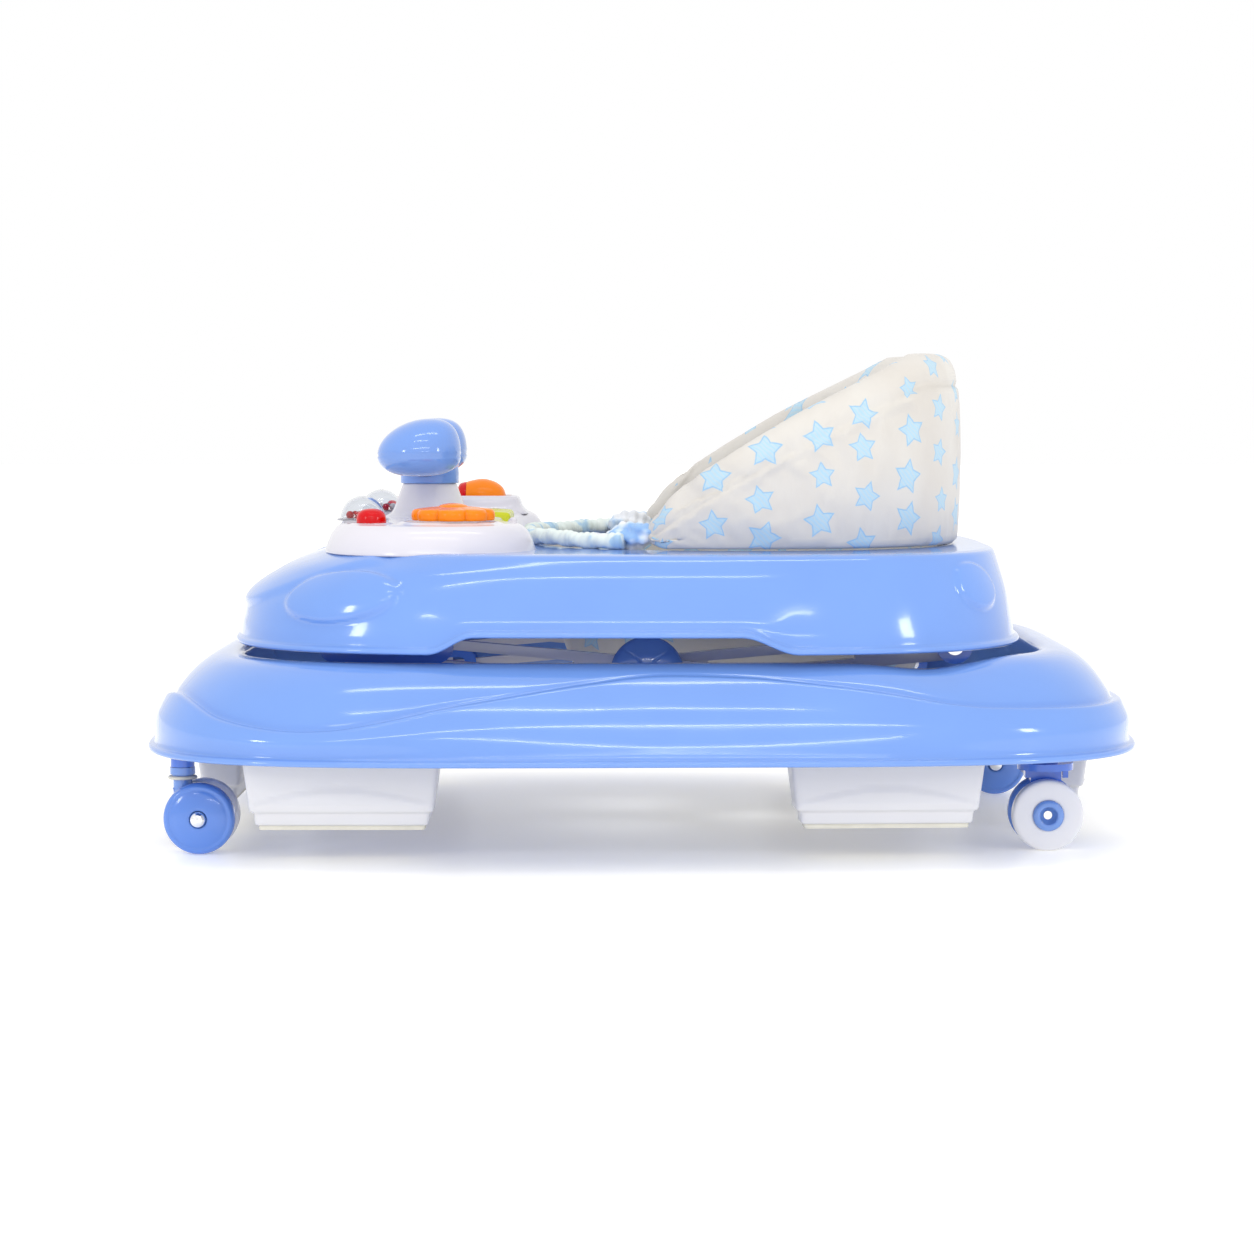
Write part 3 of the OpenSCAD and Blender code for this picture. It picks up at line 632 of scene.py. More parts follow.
def tray_relief(x, y, z):
    """How far the tray's wall stands out for its lamps and hood lines."""
    out = 0.0
    if abs(y) > 110:
        lamp = oval(x, z, (-212, 183.5), (44, 17.5), 9)
        if lamp < 1:
            out += 3.2 * smoothstep((1 - lamp) / 0.16) + 2.6 * (1 - lamp * lamp)
        tail = oval(x, z, (236, 190), (21, 13.5), -48)
        if tail < 1:
            out += 2.6 * smoothstep((1 - tail) / 0.2) + 1.6 * (1 - tail * tail)
        if x < -178:
            line = interpolate(HOOD, x)
            out += (2.8 * smoothstep((z - line + 2) / 4) * smoothstep((line + 26 - z) / 20)
                    * smoothstep((-178 - x) / 16))
    return out


def tray_shell():
    wall = spline(TRAY_WALL, 11)
    verts, rows = [], 0
    for t in even_angles(TRAY_A, TRAY_B, TRAY_N, TRAY_STATIONS):
        def point(r):
            x, y = oblong(TRAY_A - r[0], TRAY_B - r[1], TRAY_N, r[2], t)
            return x, y, r[3] + TRAY_ARCH * r[4] * side_arch(x, y)
        outer = [point(r) for r in TRAY_RIM + wall]
        deck, edge = [], outer[-1]
        hole = oblong(SEAT_A + 7, SEAT_B + 7, SEAT_N, SEAT_X, t)
        for k in range(1, DECK_STEPS):
            f = k / DECK_STEPS
            deck.append((mix(edge[0], hole[0], f), mix(edge[1], hole[1], f), DECK))
        lip = [(*oblong(SEAT_A + o, SEAT_B + o, SEAT_N, SEAT_X, t), z) for o, z in TRAY_OPENING]
        column = outer + deck + lip + [point(r) for r in TRAY_UNDER]
        rows = len(column)
        verts += column
    piece = make_piece("tray_top_shell", verts, grid_faces(TRAY_STATIONS, rows), "tray", ["tray_shell"])
    first, last = len(TRAY_RIM), len(TRAY_RIM) + len(wall)
    normals = [v.normal.copy() for v in piece.data.vertices]
    for i, v in enumerate(piece.data.vertices):
        if first <= i % rows < last:
            v.co += normals[i] * tray_relief(*(c / MM for c in v.co)) * MM
    piece.data.update()
    return piece


for shell in (base_shell(), tray_shell()):
    shell.data.materials.append(blue_plastic)


# ---------- wheels, lathed about their axles ----------

BLUE_WHEEL = [(3.08, 5.6), (8, 5.6), (8.4, 7.2), (10, 7.5), (21, 7.5), (23, 7.7), (24.6, 8.6), (25.4, 10),
              (25.5, 12), (25.5, 15.6), (25.2, 17.4), (24.4, 19.1), (23.2, 20.1), (22, 20.4), (21.2, 20.1),
              (20.5, 20.1), (19.6, 20.6), (17.5, 21.3), (15, 21.9), (12, 22.5), (9, 22.9), (6.9, 23.0),
              (6.3, 22.7), (6.1, 21.8), (6.0, 20), (3.08, 20)]
WHITE_WHEEL = [(3.08, 5.6), (8, 5.6), (8, 7.5), (22.5, 7.5), (24.4, 8), (25.3, 9.2), (25.5, 10.2),
               (25.5, 17.6), (25.3, 18.6), (24.7, 19.5), (23.6, 20), (22, 20.1), (12, 20.1), (11.2, 19.8)]
HUB = [(11.1, 19.2), (11.1, 20.6), (10.6, 21.6), (9.4, 22.4), (7.6, 22.7), (6.7, 22.5), (6.2, 21.8),
       (6.1, 17.5), (3.2, 17.3), (3.2, 16)]


def turns(count):
    """Angles that share a full turn evenly."""
    return [2 * math.pi * j / count for j in range(count)]


def lathe(name, profile, centre, side, body, nodes, material, count=96):
    """Turns (radius, distance out) about a line along Y through the centre."""
    verts = []
    for a in turns(count):
        verts += [(centre[0] + r * math.cos(a), centre[1] + side * y, centre[2] + r * math.sin(a))
                  for r, y in profile]
    faces = grid_faces(count, len(profile))
    if side < 0:
        faces = [f[::-1] for f in faces]
    piece = make_piece(name, verts, faces, body, nodes)
    piece.data.materials.append(material)
    return piece


def turned(name, profile, centre, body, nodes, material, count=96, shape=lambda r, a: r):
    """Turns (radius, height) about a vertical line. shape(radius, angle) may change the radius."""
    rings = [[(centre[0] + shape(r, a) * math.cos(a), centre[1] + shape(r, a) * math.sin(a), z)
              for a in turns(count)] for r, z in profile]
    return surface(name, rings, body, nodes, material)


R_WHEEL = 25.5
for side, word in BOTH_SIDES:
    for end, x, y, out in (("front", -315.5, 185, side), ("rear", 290, 165, -side)):
        centre = (x, side * y, R_WHEEL)
        lathe(f"{end}_blue_wheel_look_{word}", BLUE_WHEEL, centre, out, f"{end}_blue_wheel_{word}",
              [f"{end}_wheel_blue_{word}"], wheel_plastic)
        lathe(f"{end}_white_wheel_look_{word}", WHITE_WHEEL, centre, -out, f"{end}_white_wheel_{word}",
              [f"{end}_wheel_white_{word}"], tyre_plastic)
        lathe(f"{end}_white_wheel_hub_{word}", HUB, centre, -out, f"{end}_white_wheel_{word}", [],
              blue_plastic)


STEM_AT = (-329, 185)
WASHER = [(7.7, 52.2), (9.6, 52.2), (10.3, 52.6), (10.5, 53.4), (10.2, 54.2), (9.4, 54.6), (7.7, 54.7)]
for side, word in BOTH_SIDES:
    turned(f"caster_washer_{word}", WASHER, (STEM_AT[0], side * STEM_AT[1]), f"caster_{word}", [],
           pad_rubber, 64)


# ---------- stoppers ----------

def stopper(name, centre, half, turn, body_node):
    """A tapering box with a stepped foot and an arc embossed on its long faces."""
    count = 260
    rows = [(75.9, 0.6), (76, 0), (74, 0.1), (68, 0.8), (60, 1.8), (56, 2.3), (52, 2.8), (50, 3.0),
            (48, 3.3), (46, 3.5), (44, 3.8), (42, 4.0), (40, 4.3), (38, 4.5), (37, 4.7), (36, 5.4),
            (35.4, 6.6), (34.6, 7.6), (33.4, 7.9), (30, 8.2), (28, 8.4), (26.9, 8.8), (26.2, 9.9), (26, 12)]
    verts = []
    long_y = half[1] > half[0]
    c, s = math.cos(math.radians(turn)), math.sin(math.radians(turn))
    angles = even_angles(half[0], half[1], 12, count)
    for z, inset in rows:
        for t in angles:
            x, y = oblong(half[0] - inset, half[1] - inset, 12, 0, t)
            along, reach = (y, half[1]) if long_y else (x, half[0])
            arc_z = 51 - 13 * (along / reach) ** 2
            across = abs(x) / half[0] if long_y else abs(y) / half[1]
            if across > 0.55 and z < 60:
                raised = 0.9 * smoothstep((arc_z - z) / 2.2 + 0.5) * smoothstep((z - 38) / 2)
                x, y = (x + math.copysign(raised, x), y) if long_y else (x, y + math.copysign(raised, y))
            verts.append((centre[0] + c * x - s * y, centre[1] + s * x + c * y, z))
    faces = grid_faces(len(rows), count, wrap_rows=False)
    faces.append([(len(rows) - 1) * count + k for k in range(count)][::-1])
    faces.append(list(range(count)))
    piece = make_piece(name, verts, faces, "base", [body_node])
    piece.data.materials.append(box_plastic)
    return piece


for end, x in (("front", -314), ("rear", 314)):
    stopper(f"stopper_box_{end}", (x, 0), (20, 100), 0, f"stopper_{end}")
for side, word in BOTH_SIDES:
    stopper(f"stopper_box_front_{word}", (-210.5, side * 232), (69, 22), 0, f"stopper_side_front_{word}")
    stopper(f"stopper_box_rear_{word}", (170, side * 222), (69, 22), -3 * side, f"stopper_side_rear_{word}")


# ---------- play tray and toys ----------

PLAY_HALF = [(-231, 0), (-232, 60), (-233, 108), (-230, 146), (-214, 182), (-180, 203), (-146, 207),
             (-118, 203), (-93, 187), (-78, 156), (-77, 126), (-86, 100), (-93, 70), (-96, 30)]
PLAY_TOP = 233.0
PLAY_STATIONS, PLAY_STEPS = 420, 45
# The line along the play tray's middle that its top closes on: x, and share of the outline's y
PLAY_SPINE = (-160, 0.76)

# Where the toys stand, as x and y, or as x and distance to each side
COLUMN_AT = (-163, 0)
FLOWER_AT = (-137, -148)
FLOWER_WELL_AT = (-139, -148)
BUTTON_AT = (-196, 150)
DOME_AT = (-207, 90)
HOUSING_AT = (-127, 128)
ROLLER_AT, ROLLER_Z = (-129, 128), 241.5
KEY_X, KEY_PITCH, KEY_TOP = (-124.5, -99.5), 27, 238.4
# Inset and height up the play tray's outside, from its foot
PLAY_SIDE = [(3, 211.5), (0.6, 211.7), (0, 212.6), (0.5, 215), (2.2, 220), (5, 226), (8.5, 230.3),
             (12.5, 232.5), (17, 233)]


def cut_corners(points, times):
    for _ in range(times):
        points = [tuple(mix(a, b, f) for a, b in zip(p, q))
                  for p, q in zip(points, points[1:] + points[:1]) for f in (0.25, 0.75)]
    return points


def even_outline(points, count):
    """The same closed outline in so many equal steps, with the outward normal at each."""
    closed = [p for p, q in zip(points, points[1:] + points[:1]) if math.dist(p, q) > 1e-6]
    table = by_length(closed + closed[:1])
    total, out, j = table[-1][0], [], 0
    for i in range(count):
        want = total * i / count
        while table[j + 1][0] < want:
            j += 1
        (s0, p), (s1, q) = table[j], table[j + 1]
        f = (want - s0) / (s1 - s0)
        out.append(Vector((mix(p[0], q[0], f), mix(p[1], q[1], f))))
    normals = []
    for i in range(count):
        d = (out[(i + 3) % count] - out[i - 3]).normalized()
        normals.append(Vector((d[1], -d[0])))
    middle = sum(out, Vector((0, 0))) / count
    if sum(n.dot(p - middle) for n, p in zip(normals, out)) < 0:
        normals = [-n for n in normals]
    return list(zip(out, normals))


def play_relief(x, y):
    """Height of the play tray's top above its plain level."""
    flower = math.hypot(x - FLOWER_WELL_AT[0], y - FLOWER_WELL_AT[1])
    out = 1.9 * smoothstep((40 - flower) / 7) - 2.6 * smoothstep((33.5 - flower) / 1.5)
    for side in (-1, 1):
        d = math.hypot(x - BUTTON_AT[0], y - side * BUTTON_AT[1])
        out += 0.9 * smoothstep((16 - d) / 2) - 1.6 * smoothstep((12.6 - d) / 1.2)
        d = math.hypot(x - DOME_AT[0], y - side * DOME_AT[1])
        out += 1.1 * smoothstep((22 - d) / 4)
    bump = math.hypot((x + 88) / 11, (y + 108) / 11)
    if bump < 1:
        out += 5.5 * math.sqrt(1 - bump * bump)
    d = max(abs(x + 112.5) - 15, abs(y) - 43)
    out += 1.2 * smoothstep((3 - d) / 3)
    return out


def play_top():
    corners = PLAY_HALF + [(x, -y) for x, y in reversed(PLAY_HALF)]
    rings = [tuple(r) for r in spline(PLAY_SIDE, 4)] + [(17 + d, PLAY_TOP) for d in (1.6, 3.4, 5.4, 7.6)]
    verts = []
    for p, n in even_outline(cut_corners(corners, 5), PLAY_STATIONS):
        for inset, z in rings:
            q = p - n * inset
            verts.append((q.x, q.y, z + (play_relief(q.x, q.y) if z > PLAY_TOP - 1 else 0)))
        start, end = p - n * rings[-1][0], Vector((PLAY_SPINE[0], p.y * PLAY_SPINE[1]))
        for k in range(1, PLAY_STEPS + 1):
            q = start.lerp(end, k / PLAY_STEPS)
            verts.append((q.x, q.y, PLAY_TOP + play_relief(q.x, q.y)))
    faces = grid_faces(PLAY_STATIONS, len(rings) + PLAY_STEPS, wrap_cols=False)
    piece = make_piece("play_tray_shell", verts, faces, "tray", ["play_tray"])
    piece.data.materials.append(white_plastic)


def smooth_profile(points, steps=5):
    return [tuple(p) for p in spline(points, steps)]


play_top()

COLUMN = [(37, 232.6), (34, 234), (30, 236), (27.5, 239.5), (25.8, 244), (24, 249), (22, 254.5), (21, 257.2),
          (20.4, 258.3), (19, 258.6), (10, 258.6)]
turned("steering_column_cone", smooth_profile(COLUMN), COLUMN_AT, "tray", ["steering_column"],
       white_plastic)


def petals(r, a):
    """Draws a circle's edge out to eight petals."""
    lobe = abs(math.cos(4 * a)) ** 0.55
    return r * (1 - 0.145 * (1 - lobe) * smoothstep((r - 9) / 12))


FLOWER = [(27, 236), (29.2, 235.6), (30, 236.6), (30.2, 239), (29.9, 241.4), (28.6, 243.2), (26.4, 243.9),
          (22, 244.5), (16, 245.2), (13, 245.3), (12, 245.0), (11, 245.3), (9, 246.6), (5, 247.6), (0.3, 248)]
turned("flower_top", smooth_profile(FLOWER, 4), FLOWER_AT, "flower", ["flower_button"],
       orange_plastic, 192, petals)

RED_BUTTON = [(10.7, 226), (10.8, 232), (10.8, 235.5), (10.5, 238.2), (9.5, 240.6), (7.4, 242.6), (4, 243.8),
              (0.2, 244.2)]


def arc(r, height, foot, degrees):
    """Points of a dome's section, (radius, height), at the angles named."""
    return [(r * math.cos(math.radians(a)), foot + height * math.sin(math.radians(a))) for a in degrees]


DOME = ([(19, PLAY_TOP + 0.5), (19, PLAY_TOP + 1.7), (17.4, PLAY_TOP + 2.1)]
        + arc(16.8, 17.6, PLAY_TOP + 1, range(0, 90, 5)) + [(0.2, PLAY_TOP + 18.6), (0.2, PLAY_TOP + 17.4)]
        + arc(15.6, 16.4, PLAY_TOP + 1, range(85, -1, -5)))
for side, word in BOTH_SIDES:
    turned(f"red_button_top_{word}", smooth_profile(RED_BUTTON, 4), (BUTTON_AT[0], side * BUTTON_AT[1]),
           f"button_{word}", [f"red_button_{word}"], red_plastic, 64)
    turned(f"rattle_dome_{word}", DOME, (DOME_AT[0], side * DOME_AT[1]), "tray", ["rattle_domes"],
           clear, 96)

BEADS = [(-6, 2, "red"), (4, -5, "red"), (5, 6, "dark"), (-2, -8, "red"), (-1, 9, "white"), (9, 1, "white"),
         (-9, -4, "red")]


def bead(name, centre, radius, material):
    profile = [(radius * math.sin(math.radians(a)) + 0.01, centre[2] - radius * math.cos(math.radians(a)))
               for a in range(0, 181, 12)]
    return turned(name, profile, centre, "tray", ["rattle_beads"], material, 24)


for side, word in BOTH_SIDES:
    for i, (x, y, tone) in enumerate(BEADS):
        bead(f"bead_{word}_{i}", (DOME_AT[0] + x, side * DOME_AT[1] + y, PLAY_TOP + 4.4), 3.0,
             {"red": red_plastic, "dark": dark_plastic, "white": white_plastic}[tone])


def lobe(side):
    """One half of the handle: an egg, flatter below its parting line, cut off at the middle."""
    rings, count = [], 72
    for k in range(0, 41):
        v = -math.pi / 2 + math.pi * k / 40
        ring = []
        for a in turns(count):
            low = v < 0
            rx, ry, rz = 31.5, 31 + 1.5 * math.cos(a), (15.5 if low else 28.0)
            c = abs(math.cos(v)) ** (0.72 if low else 0.9)
            x = rx * c * signed_pow(math.cos(a), 0.92) + (0 if low else 8.5 * math.sin(v) ** 2)
            y = ry * c * math.sin(a) * (1 + 0.02 * (not low))
            z = 280.3 + rz * math.sin(v)
            if abs(v) < 1e-6:
                x, y = x * 0.98, y * 0.98
            ring.append((-168 + x, side * (46 + y), z))
        rings.append(ring)
    return rings


for side, word in BOTH_SIDES:
    surface(f"handle_lobe_{word}", lobe(side), "handle", ["steering_handle"], blue_plastic)

# The collar under the lobes and the waist that joins them
COLLAR = [(8, 258.8), (22, 258.8), (22.4, 259.2), (22.5, 260), (22.5, 266), (22, 272), (21, 278), (18, 284),
          (12, 288), (0.2, 289)]
turned("handle_collar", COLLAR, COLUMN_AT, "handle", [], blue_plastic)
waist = []
for k in range(25):
    y = -30 + 60 * k / 24
    pinch = 1 - 0.12 * math.cos(math.pi * y / 60) ** 4
    waist.append([(-166 + 24 * pinch * math.cos(a), y, 281 + 17 * pinch * math.sin(a))
                  for a in turns(64)])
surface("handle_waist", waist, "handle", [], blue_plastic)

# Housing of the roller: a rounded mound with a well
HOUSING = [(-7, 231.5, 0), (-6.5, 233, 0), (-4.5, 235, 0), (-2, 238, 0), (-0.5, 242, 0), (0.8, 244.6, 0),
           (3, 245.8, 0), (5, 245.8, 1), (5.8, 245.2, 1), (6.1, 244, 1), (6.2, 236, 1), (6.2, 226, 1)]
rings = []
for inset, z, inner in HOUSING:
    a, b, n = (29, 26, 5) if not inner else (28, 25, 7)
    rings.append([(HOUSING_AT[0] + p[0], HOUSING_AT[1] + p[1], z) for p in
                  (oblong(a - inset, b - inset, n, 0, t) for t in even_angles(a, b, n, 140))])
surface("roller_mound", rings, "tray", ["roller_housing"], white_plastic)

ROLLER = [(0.1, -19.6), (9.6, -19.6), (10.4, -19.2), (13.2, -17.8), (14.2, -16.4), (14.9, -13.4),
          (14.9, -12.2)]
ROLLER_BODY = [(14.6, -12.2), (15.2, -11.4), (16.4, -7), (17.3, -2), (17.4, 2), (16.8, 6), (14.6, 12),
               (10.6, 17), (5.5, 19.4), (0.1, 19.8)]


def along_x(name, profile, nodes, material):
    rings = [[(ROLLER_AT[0] + x, ROLLER_AT[1] + r * math.cos(a), ROLLER_Z + r * math.sin(a))
              for a in turns(80)] for r, x in profile]
    surface(name, rings, "roller", nodes, material)


along_x("roller_band", ROLLER, ["roller"], red_plastic)
along_x("roller_body", smooth_profile(ROLLER_BODY), [], orange_plastic)


def key(i):
    """A key with rounded edges that leans towards the child."""
    x0, x1 = KEY_X
    rings = []
    for inset, drop in ((0, 12), (0, 3.4), (0.5, 1.5), (1.6, 0.5), (3.4, 0), (8, -0.2), (12.2, -0.3)):
        ring = []
        for t in even_angles(12.5, 13, 9, 72):
            px, py = oblong(max(0.1, 12.5 - inset), max(0.1, 13 - inset), 9, (x0 + x1) / 2, t)
            ring.append((px, (i - 2) * KEY_PITCH + py, KEY_TOP - drop - 0.04 * (px - x0) * (drop < 4)))
        rings.append(ring)
    surface(f"key_top_{i}", rings, f"key_{i}", [f"piano_key_{i}"], lime_plastic)


for i in (1, 2, 3):
    key(i)


# A leg's hinged end is at LEG_END_X. Its open end is LEG_LENGTH away, and LEG_RISE higher or lower when
# folded. The legs cross halfway.
LEG_LENGTH, LEG_RISE, LEG_END_X, CROSSING_Z = 440, 40, 222, 127.5
CAP_R, CAP_RISE, CAP_FOOT = 26.5, 11.2, 182


def ball_cap(side, word):
    """The cap on the legs' crossing: a dome with curved seams like a ball's."""
    rings, count = [], 160
    cx = (LEG_END_X + (LEG_END_X - LEG_LENGTH * math.cos(math.asin(LEG_RISE / LEG_LENGTH)))) / 2
    for k in range(61):
        f = k / 60
        r = CAP_R * math.sin(f * math.pi / 2) + 0.05
        height = CAP_RISE * math.cos(f * math.pi / 2) ** 0.9
        ring = []
        for a in turns(count):
            x, z = r * math.cos(a), r * math.sin(a)
            cut = 0.0
            for c, s, bow in ((1, 0, 0.012), (0.5, 0.866, -0.014), (-0.5, 0.866, 0.013)):
                u, v = c * x + s * z, c * z - s * x
                cut += max(0, 1 - abs(v - bow * (u * u - 120)) / 0.9)
            y = CAP_FOOT + 0.6 + max(0, height - 0.75 * min(1, cut))
            ring.append((cx + x, side * y, CROSSING_Z + z))
        rings.append(ring)
    rings.append([(cx + CAP_R * math.cos(a), side * CAP_FOOT, CROSSING_Z + CAP_R * math.sin(a))
                  for a in turns(count)])
    surface(f"pivot_cap_look_{word}", rings, "outer_legs", [f"pivot_cap_{word}"],
            blue_plastic)


for side, word in BOTH_SIDES:
    ball_cap(side, word)


# ---------- seat cover, hanging seat and front edge ----------

COVER_A, COVER_B = SEAT_A + 5, SEAT_B + 5
COVER_END = math.radians(116)
COVER_T = 26


def cover_height(x):
    return min(142.0, 30 + 112 * (max(0.0, x - 6) / 203) ** 0.85)


def seam_height(h):
    return max(0.3 * h, h - 23)


def cover_section(h):
    """One section of the cover: how far in from its outside, and height above the deck."""
    seam = seam_height(h)
    outer = [(1.5, 0.5), (0.2, 2.5), (-0.6, 8), (-1.0, 0.3 * seam), (-1.4, 0.6 * seam), (-0.9, seam - 5),
             (0.3, seam - 1.2), (1.5, seam), (1.1, seam + 1.4), (1.6, seam + 4), (3.2, mix(seam, h, 0.45)),
             (5.8, mix(seam, h, 0.7)), (9, mix(seam, h, 0.88)), (12, h - 0.9), (15.5, h)]
    inner = [(19.5, h - 0.6), (22.6, h - 2.6), (24.8, h - 6.5), (25.8, h - 13), (26.2, 0.6 * h),
             (26, 0.3 * h), (25.4, 6), (24, 1.2), (22, 0.5), (12, 0.4)]
    return outer + inner


def cover_grid():
    """Rows of points round the cover, with each point's place on the cloth in metres."""
    stations, around = 236, 76
    angles = [-COVER_END + 2 * COVER_END * i / (stations - 1) for i in range(stations)]
    spots = [oblong(COVER_A, COVER_B, SEAT_N, SEAT_X, t) for t in angles]
    run = by_length(spots)
    half = run[-1][0] / 2
    verts, cuts = [], []
    for i, t in enumerate(angles):
        rim = spots[i]
        h = cover_height(rim[0])
        section = [tuple(p) for p in spline(cover_section(h), 3)]
        table = by_length(section)
        near_end = min(i, stations - 1 - i)
        close = math.sin(math.pi / 2 * min(1, (near_end + 0.35) / 8)) ** 0.6
        for k in range(around):
            p, _ = at_length(table, table[-1][0] * k / (around - 1))
            c = COVER_T / 2 + (p[0] - COVER_T / 2) * close
            z = h * 0.45 + (p[1] - h * 0.45) * close
            x, y = oblong(COVER_A - c, COVER_B - c, SEAT_N, SEAT_X, t)
            verts.append((x, y, DECK + 0.3 + z))
            cuts.append(((run[i][0] - half) * MM, table[-1][0] * k / (around - 1) * MM))
    return verts, cuts, stations, around


def run_cloth(jobs, frames):
    """Runs the cloths together, then takes each one's shape.

    Each job is (piece, pinned weights, pressure, spare cloth, gravity, furthest move in mm).
    """
    scene = bpy.context.scene
    for piece, pinned, pressure, spare, gravity, _ in jobs:
        group = piece.vertex_groups.new(name="pinned")
        for i, w in enumerate(pinned):
            if w > 0:
                group.add([i], w, "REPLACE")
        cloth = piece.modifiers.new("cloth", "CLOTH")
        s = cloth.settings
        s.quality = 5
        s.mass = 0.25
        s.tension_stiffness = s.compression_stiffness = 18
        s.shear_stiffness = 6
        s.bending_stiffness = 0.25
        s.vertex_group_mass = "pinned"
        s.shrink_min = -spare
        s.effector_weights.gravity = gravity
        if pressure:
            s.use_pressure = True
            s.uniform_pressure_force = pressure
        cloth.collision_settings.use_collision = False
        cloth.point_cache.frame_start = 1
        cloth.point_cache.frame_end = frames
    scene.frame_start, scene.frame_end = 1, frames
    for f in range(1, frames + 1):
        scene.frame_set(f)
    graph = bpy.context.evaluated_depsgraph_get()
    for piece, *_, cap in jobs:
        moved = [v.co.copy() for v in piece.evaluated_get(graph).data.vertices]
        piece.modifiers.remove(piece.modifiers["cloth"])
        for v, to in zip(piece.data.vertices, moved):
            step = to - v.co
            if step.length > cap * MM:
                step *= cap * MM / step.length
            v.co += step
        piece.data.update()
    scene.frame_set(1)


verts, cuts, stations, around = cover_grid()
faces = grid_faces(stations, around, wrap_rows=False)
for row in (0, stations - 1):
    faces.append([row * around + k for k in range(around)])
cover = make_piece("seat_cover_padding", verts, faces, "tray", ["seat_cover"], uv=cuts)
for cloth in (star_outside, star_inside):
    cover.data.materials.append(cloth)
for polygon in cover.data.polygons:
    first = polygon.vertices[0]
    over_top = cuts[first][1] / MM > cover_height(verts[first][0]) + 14
    polygon.material_index = int(over_top)
cover_pins = []
for i, v in enumerate(verts):
    z = v[2] - DECK
    low = z < 3.5
    on_seam = i % around < around / 2 and abs(z - seam_height(cover_height(v[0]))) < 1.6
    cover_pins.append(1.0 if low or on_seam or i < 2 * around or i >= len(verts) - 2 * around else 0.0)


SEAT_DROP = 139
LEG_HOLE_R = 45.0
# The seat's floor is its own panel, so its print lies flat instead of running together at the middle
SEAT_FLOOR_FROM = math.radians(52)


def bucket_point(phi, t):
    f = math.sqrt(math.cos(phi))
    x, y = oblong((SEAT_A - 3.6) * f, (SEAT_B - 3.6) * f, SEAT_N, SEAT_X + 14 * (1 - f), t)
    return x, y, DECK - 0.8 - SEAT_DROP * math.sin(phi) ** 0.72


def leg_hole_turns(side):
    """How far a leg hole's axis turns about the vertical, and how far it leans."""
    return math.radians(-24 * side), math.radians(-128)


def hole_distance(p):
    """How far a point is outside the nearer leg hole, in mm, and the way out of it."""
    best = None
    for side in (-1, 1):
        turn, lean = leg_hole_turns(side)
        axis = Vector((math.sin(lean), 0, math.cos(lean)))
        axis = Vector((axis.x * math.cos(turn), axis.x * math.sin(turn), axis.z))
        rel = Vector(p) - Vector((SEAT_X - 40, 40 * side, DECK - 72))
        along = rel.dot(axis)
        out = rel - axis * along
        d = out.length - LEG_HOLE_R if along > 0 else 1e3
        if best is None or d < best[0]:
            best = (d, out.normalized(), side)
    return best


def bucket():
    """The seat's cloth, with a leg hole each side. Rows go down from the rim."""
    rows, count = 46, 220
    verts, cuts = [], []
    for j in range(rows):
        phi = math.radians(88.5) * (j / (rows - 1)) ** 1.15
        for t in turns(count):
            p = Vector(bucket_point(phi, t))
            verts.append(p)
            on_floor = phi > SEAT_FLOOR_FROM
            cuts.append((p.x * MM, p.y * MM) if on_floor else (t * 0.148, 0.0042 * j))
    inside = [hole_distance(p)[0] < -1.4 for p in verts]
    faces = [f for f in grid_faces(rows, count, wrap_rows=False) if not all(inside[k] for k in f)]
    used = {}
    for f in faces:
        for a, b in zip(f, f[1:] + f[:1]):
            used[frozenset((a, b))] = used.get(frozenset((a, b)), 0) + 1
    border = {k for edge, n in used.items() if n == 1 for k in edge if count <= k < (rows - 1) * count}
    for k in border:
        d, way, _ = hole_distance(verts[k])
        if abs(d) < 14:
            verts[k] = verts[k] - way * d
    keep = sorted({k for f in faces for k in f})
    index = {k: n for n, k in enumerate(keep)}
    holes = [[index[k] for k in border if hole_distance(verts[k])[2] == s] for s in (-1, 1)]
    return ([verts[k] for k in keep], [[index[k] for k in f] for f in faces], [cuts[k] for k in keep],
            [keep[n] < count * 2 for n in range(len(keep))], holes)


sling_verts, sling_faces, sling_cuts, sling_rim, sling_holes = bucket()
sling = make_piece("seat_sling_cloth", sling_verts, sling_faces, "tray", ["seat_sling"],
                   uv=sling_cuts)
sling.data.materials.append(star_inside)
run_cloth([(cover, cover_pins, 1.1, 0.014, 0.0, 3.0),
           (sling, [1.0 if r else 0.0 for r in sling_rim], 0.0, 0.03, 0.6, 8.0)], 20)


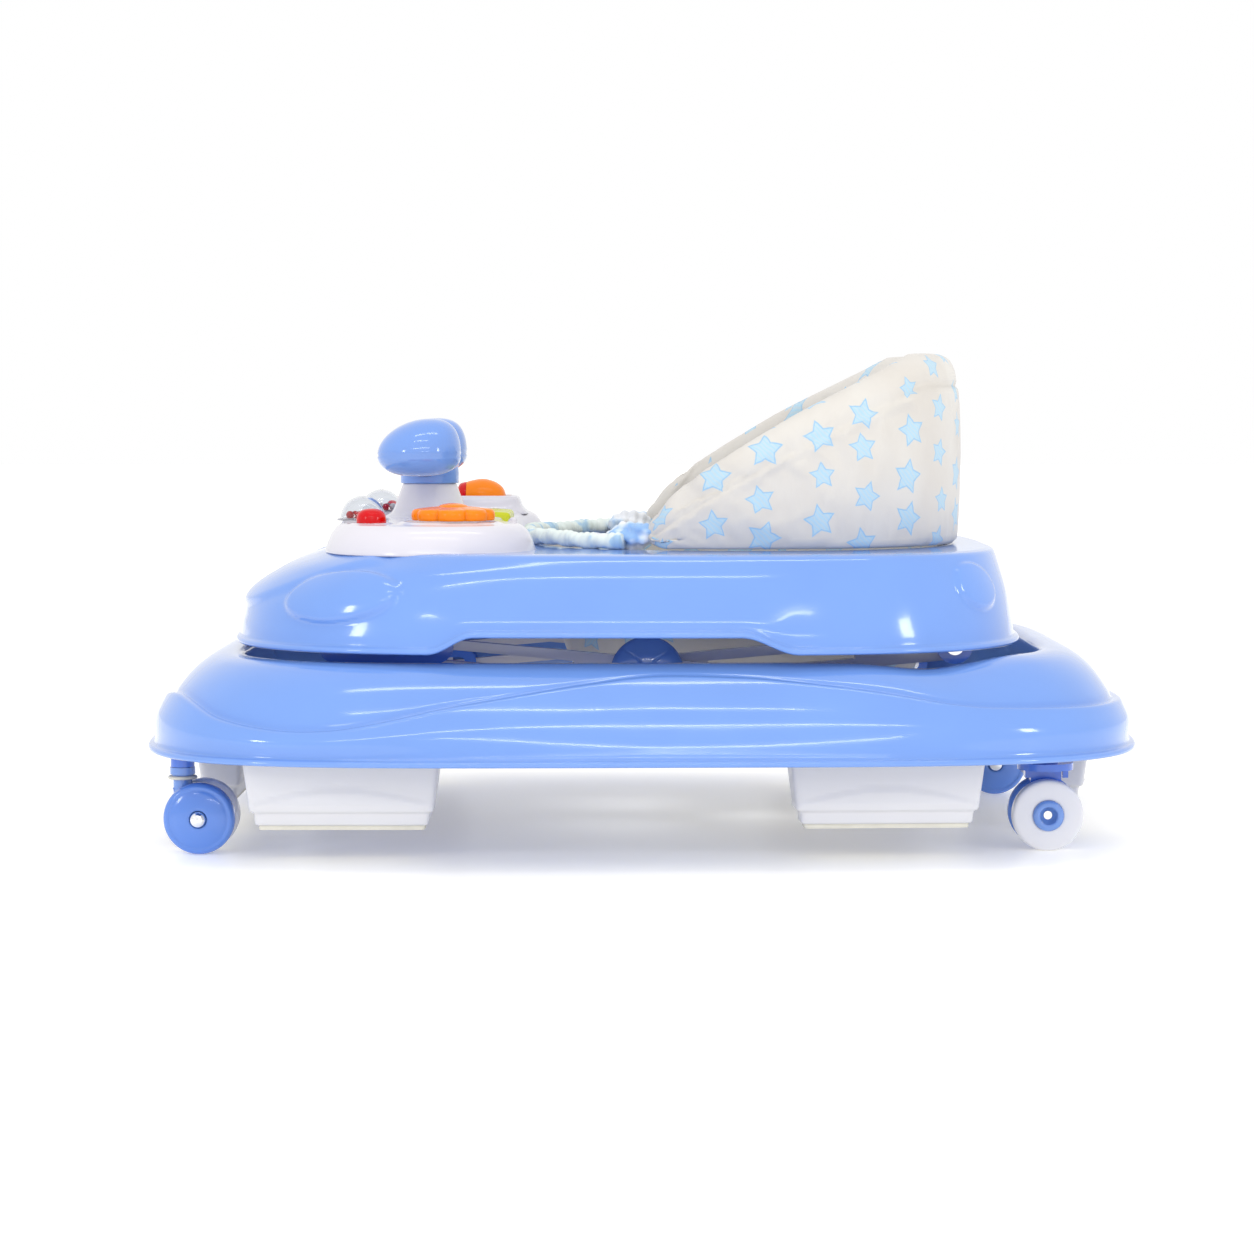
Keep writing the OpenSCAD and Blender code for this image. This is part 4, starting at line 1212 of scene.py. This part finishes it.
def tube(name, path, radius, closed, body, nodes, material, sides=14):
    """A round tube along points in mm. radius is a function of the place along it, from 0 to 1."""
    count, verts = len(path), []
    for i, p in enumerate(path):
        ahead = path[(i + 1) % count] if closed or i + 1 < count else p
        behind = path[i - 1] if closed or i else p
        way = (Vector(ahead) - Vector(behind)).normalized()
        side = way.cross(Vector((0, 0, 1))).normalized()
        up = side.cross(way)
        for k in range(sides):
            a = 2 * math.pi * k / sides
            r = radius(i / count, a)
            verts.append(Vector(p) + side * r * math.cos(a) + up * r * math.sin(a))
    faces = grid_faces(count, sides, wrap_rows=closed)
    if not closed:
        faces += [list(range(sides)), list(range((count - 1) * sides, count * sides))]
    piece = make_piece(name, verts, faces, body, nodes)
    piece.data.materials.append(material)
    return piece


# The elastic front edge, gathered along its length
rim_path = []
for k in range(341):
    t = math.radians(mix(121, 239, k / 340))
    x, y = oblong(SEAT_A + 6.5, SEAT_B + 6.5, SEAT_N, SEAT_X, t)
    rim_path.append((x, y, DECK + 6.3 + 0.7 * math.sin(9 * t)))


def gathers(f, a):
    pucker = math.sin(2 * math.pi * 46 * f + 1.8 * math.sin(2 * math.pi * 7 * f)) * 0.55
    fold = 0.5 * math.sin(2 * math.pi * 13 * f + 2 * a)
    return 5.6 + pucker * (0.6 + 0.4 * math.sin(a)) + fold


rim = tube("seat_front_edge", rim_path, gathers, False, "tray", ["seat_front_rim"],
           elastic_trim, 20)

# Gathered cloth where the front edge meets each arm of the cover
for side, word in BOTH_SIDES:
    path = []
    for k in range(61):
        t = math.radians(mix(114, 129, k / 60)) * side
        x, y = oblong(SEAT_A - 6, SEAT_B - 6, SEAT_N, SEAT_X, t)
        path.append((x, y, DECK + 11 - 4 * k / 60))

    def bunch(f, a):
        shape = math.sin(math.pi * (0.06 + 0.88 * f)) ** 0.5
        return shape * (10 + 1.3 * math.sin(5 * a + 9 * f) + 0.9 * math.sin(3 * a - 25 * f))

    tuck = tube(f"gathered_tuck_{word}", path, bunch, False, "tray", [], gathered_cloth, 44)

for border, (side, word) in zip(sling_holes, BOTH_SIDES):
    points = [sling.data.vertices[k].co / MM for k in border]
    middle = sum(points, Vector()) / len(points)
    turn, lean = leg_hole_turns(side)
    u = Vector((math.cos(lean) * math.cos(turn), math.cos(lean) * math.sin(turn), -math.sin(lean)))
    w = Vector((-math.sin(turn), math.cos(turn), 0))
    points.sort(key=lambda p: math.atan2((p - middle).dot(w), (p - middle).dot(u)))
    smooth = [(points[i - 2] + points[i - 1] + points[i] + points[(i + 1) % len(points)]
               + points[(i + 2) % len(points)]) / 5 for i in range(len(points))]
    tube(f"leg_hole_hem_{word}", smooth, lambda f, a: 2.6, True, "tray", [],
                     gathered_cloth, 10)
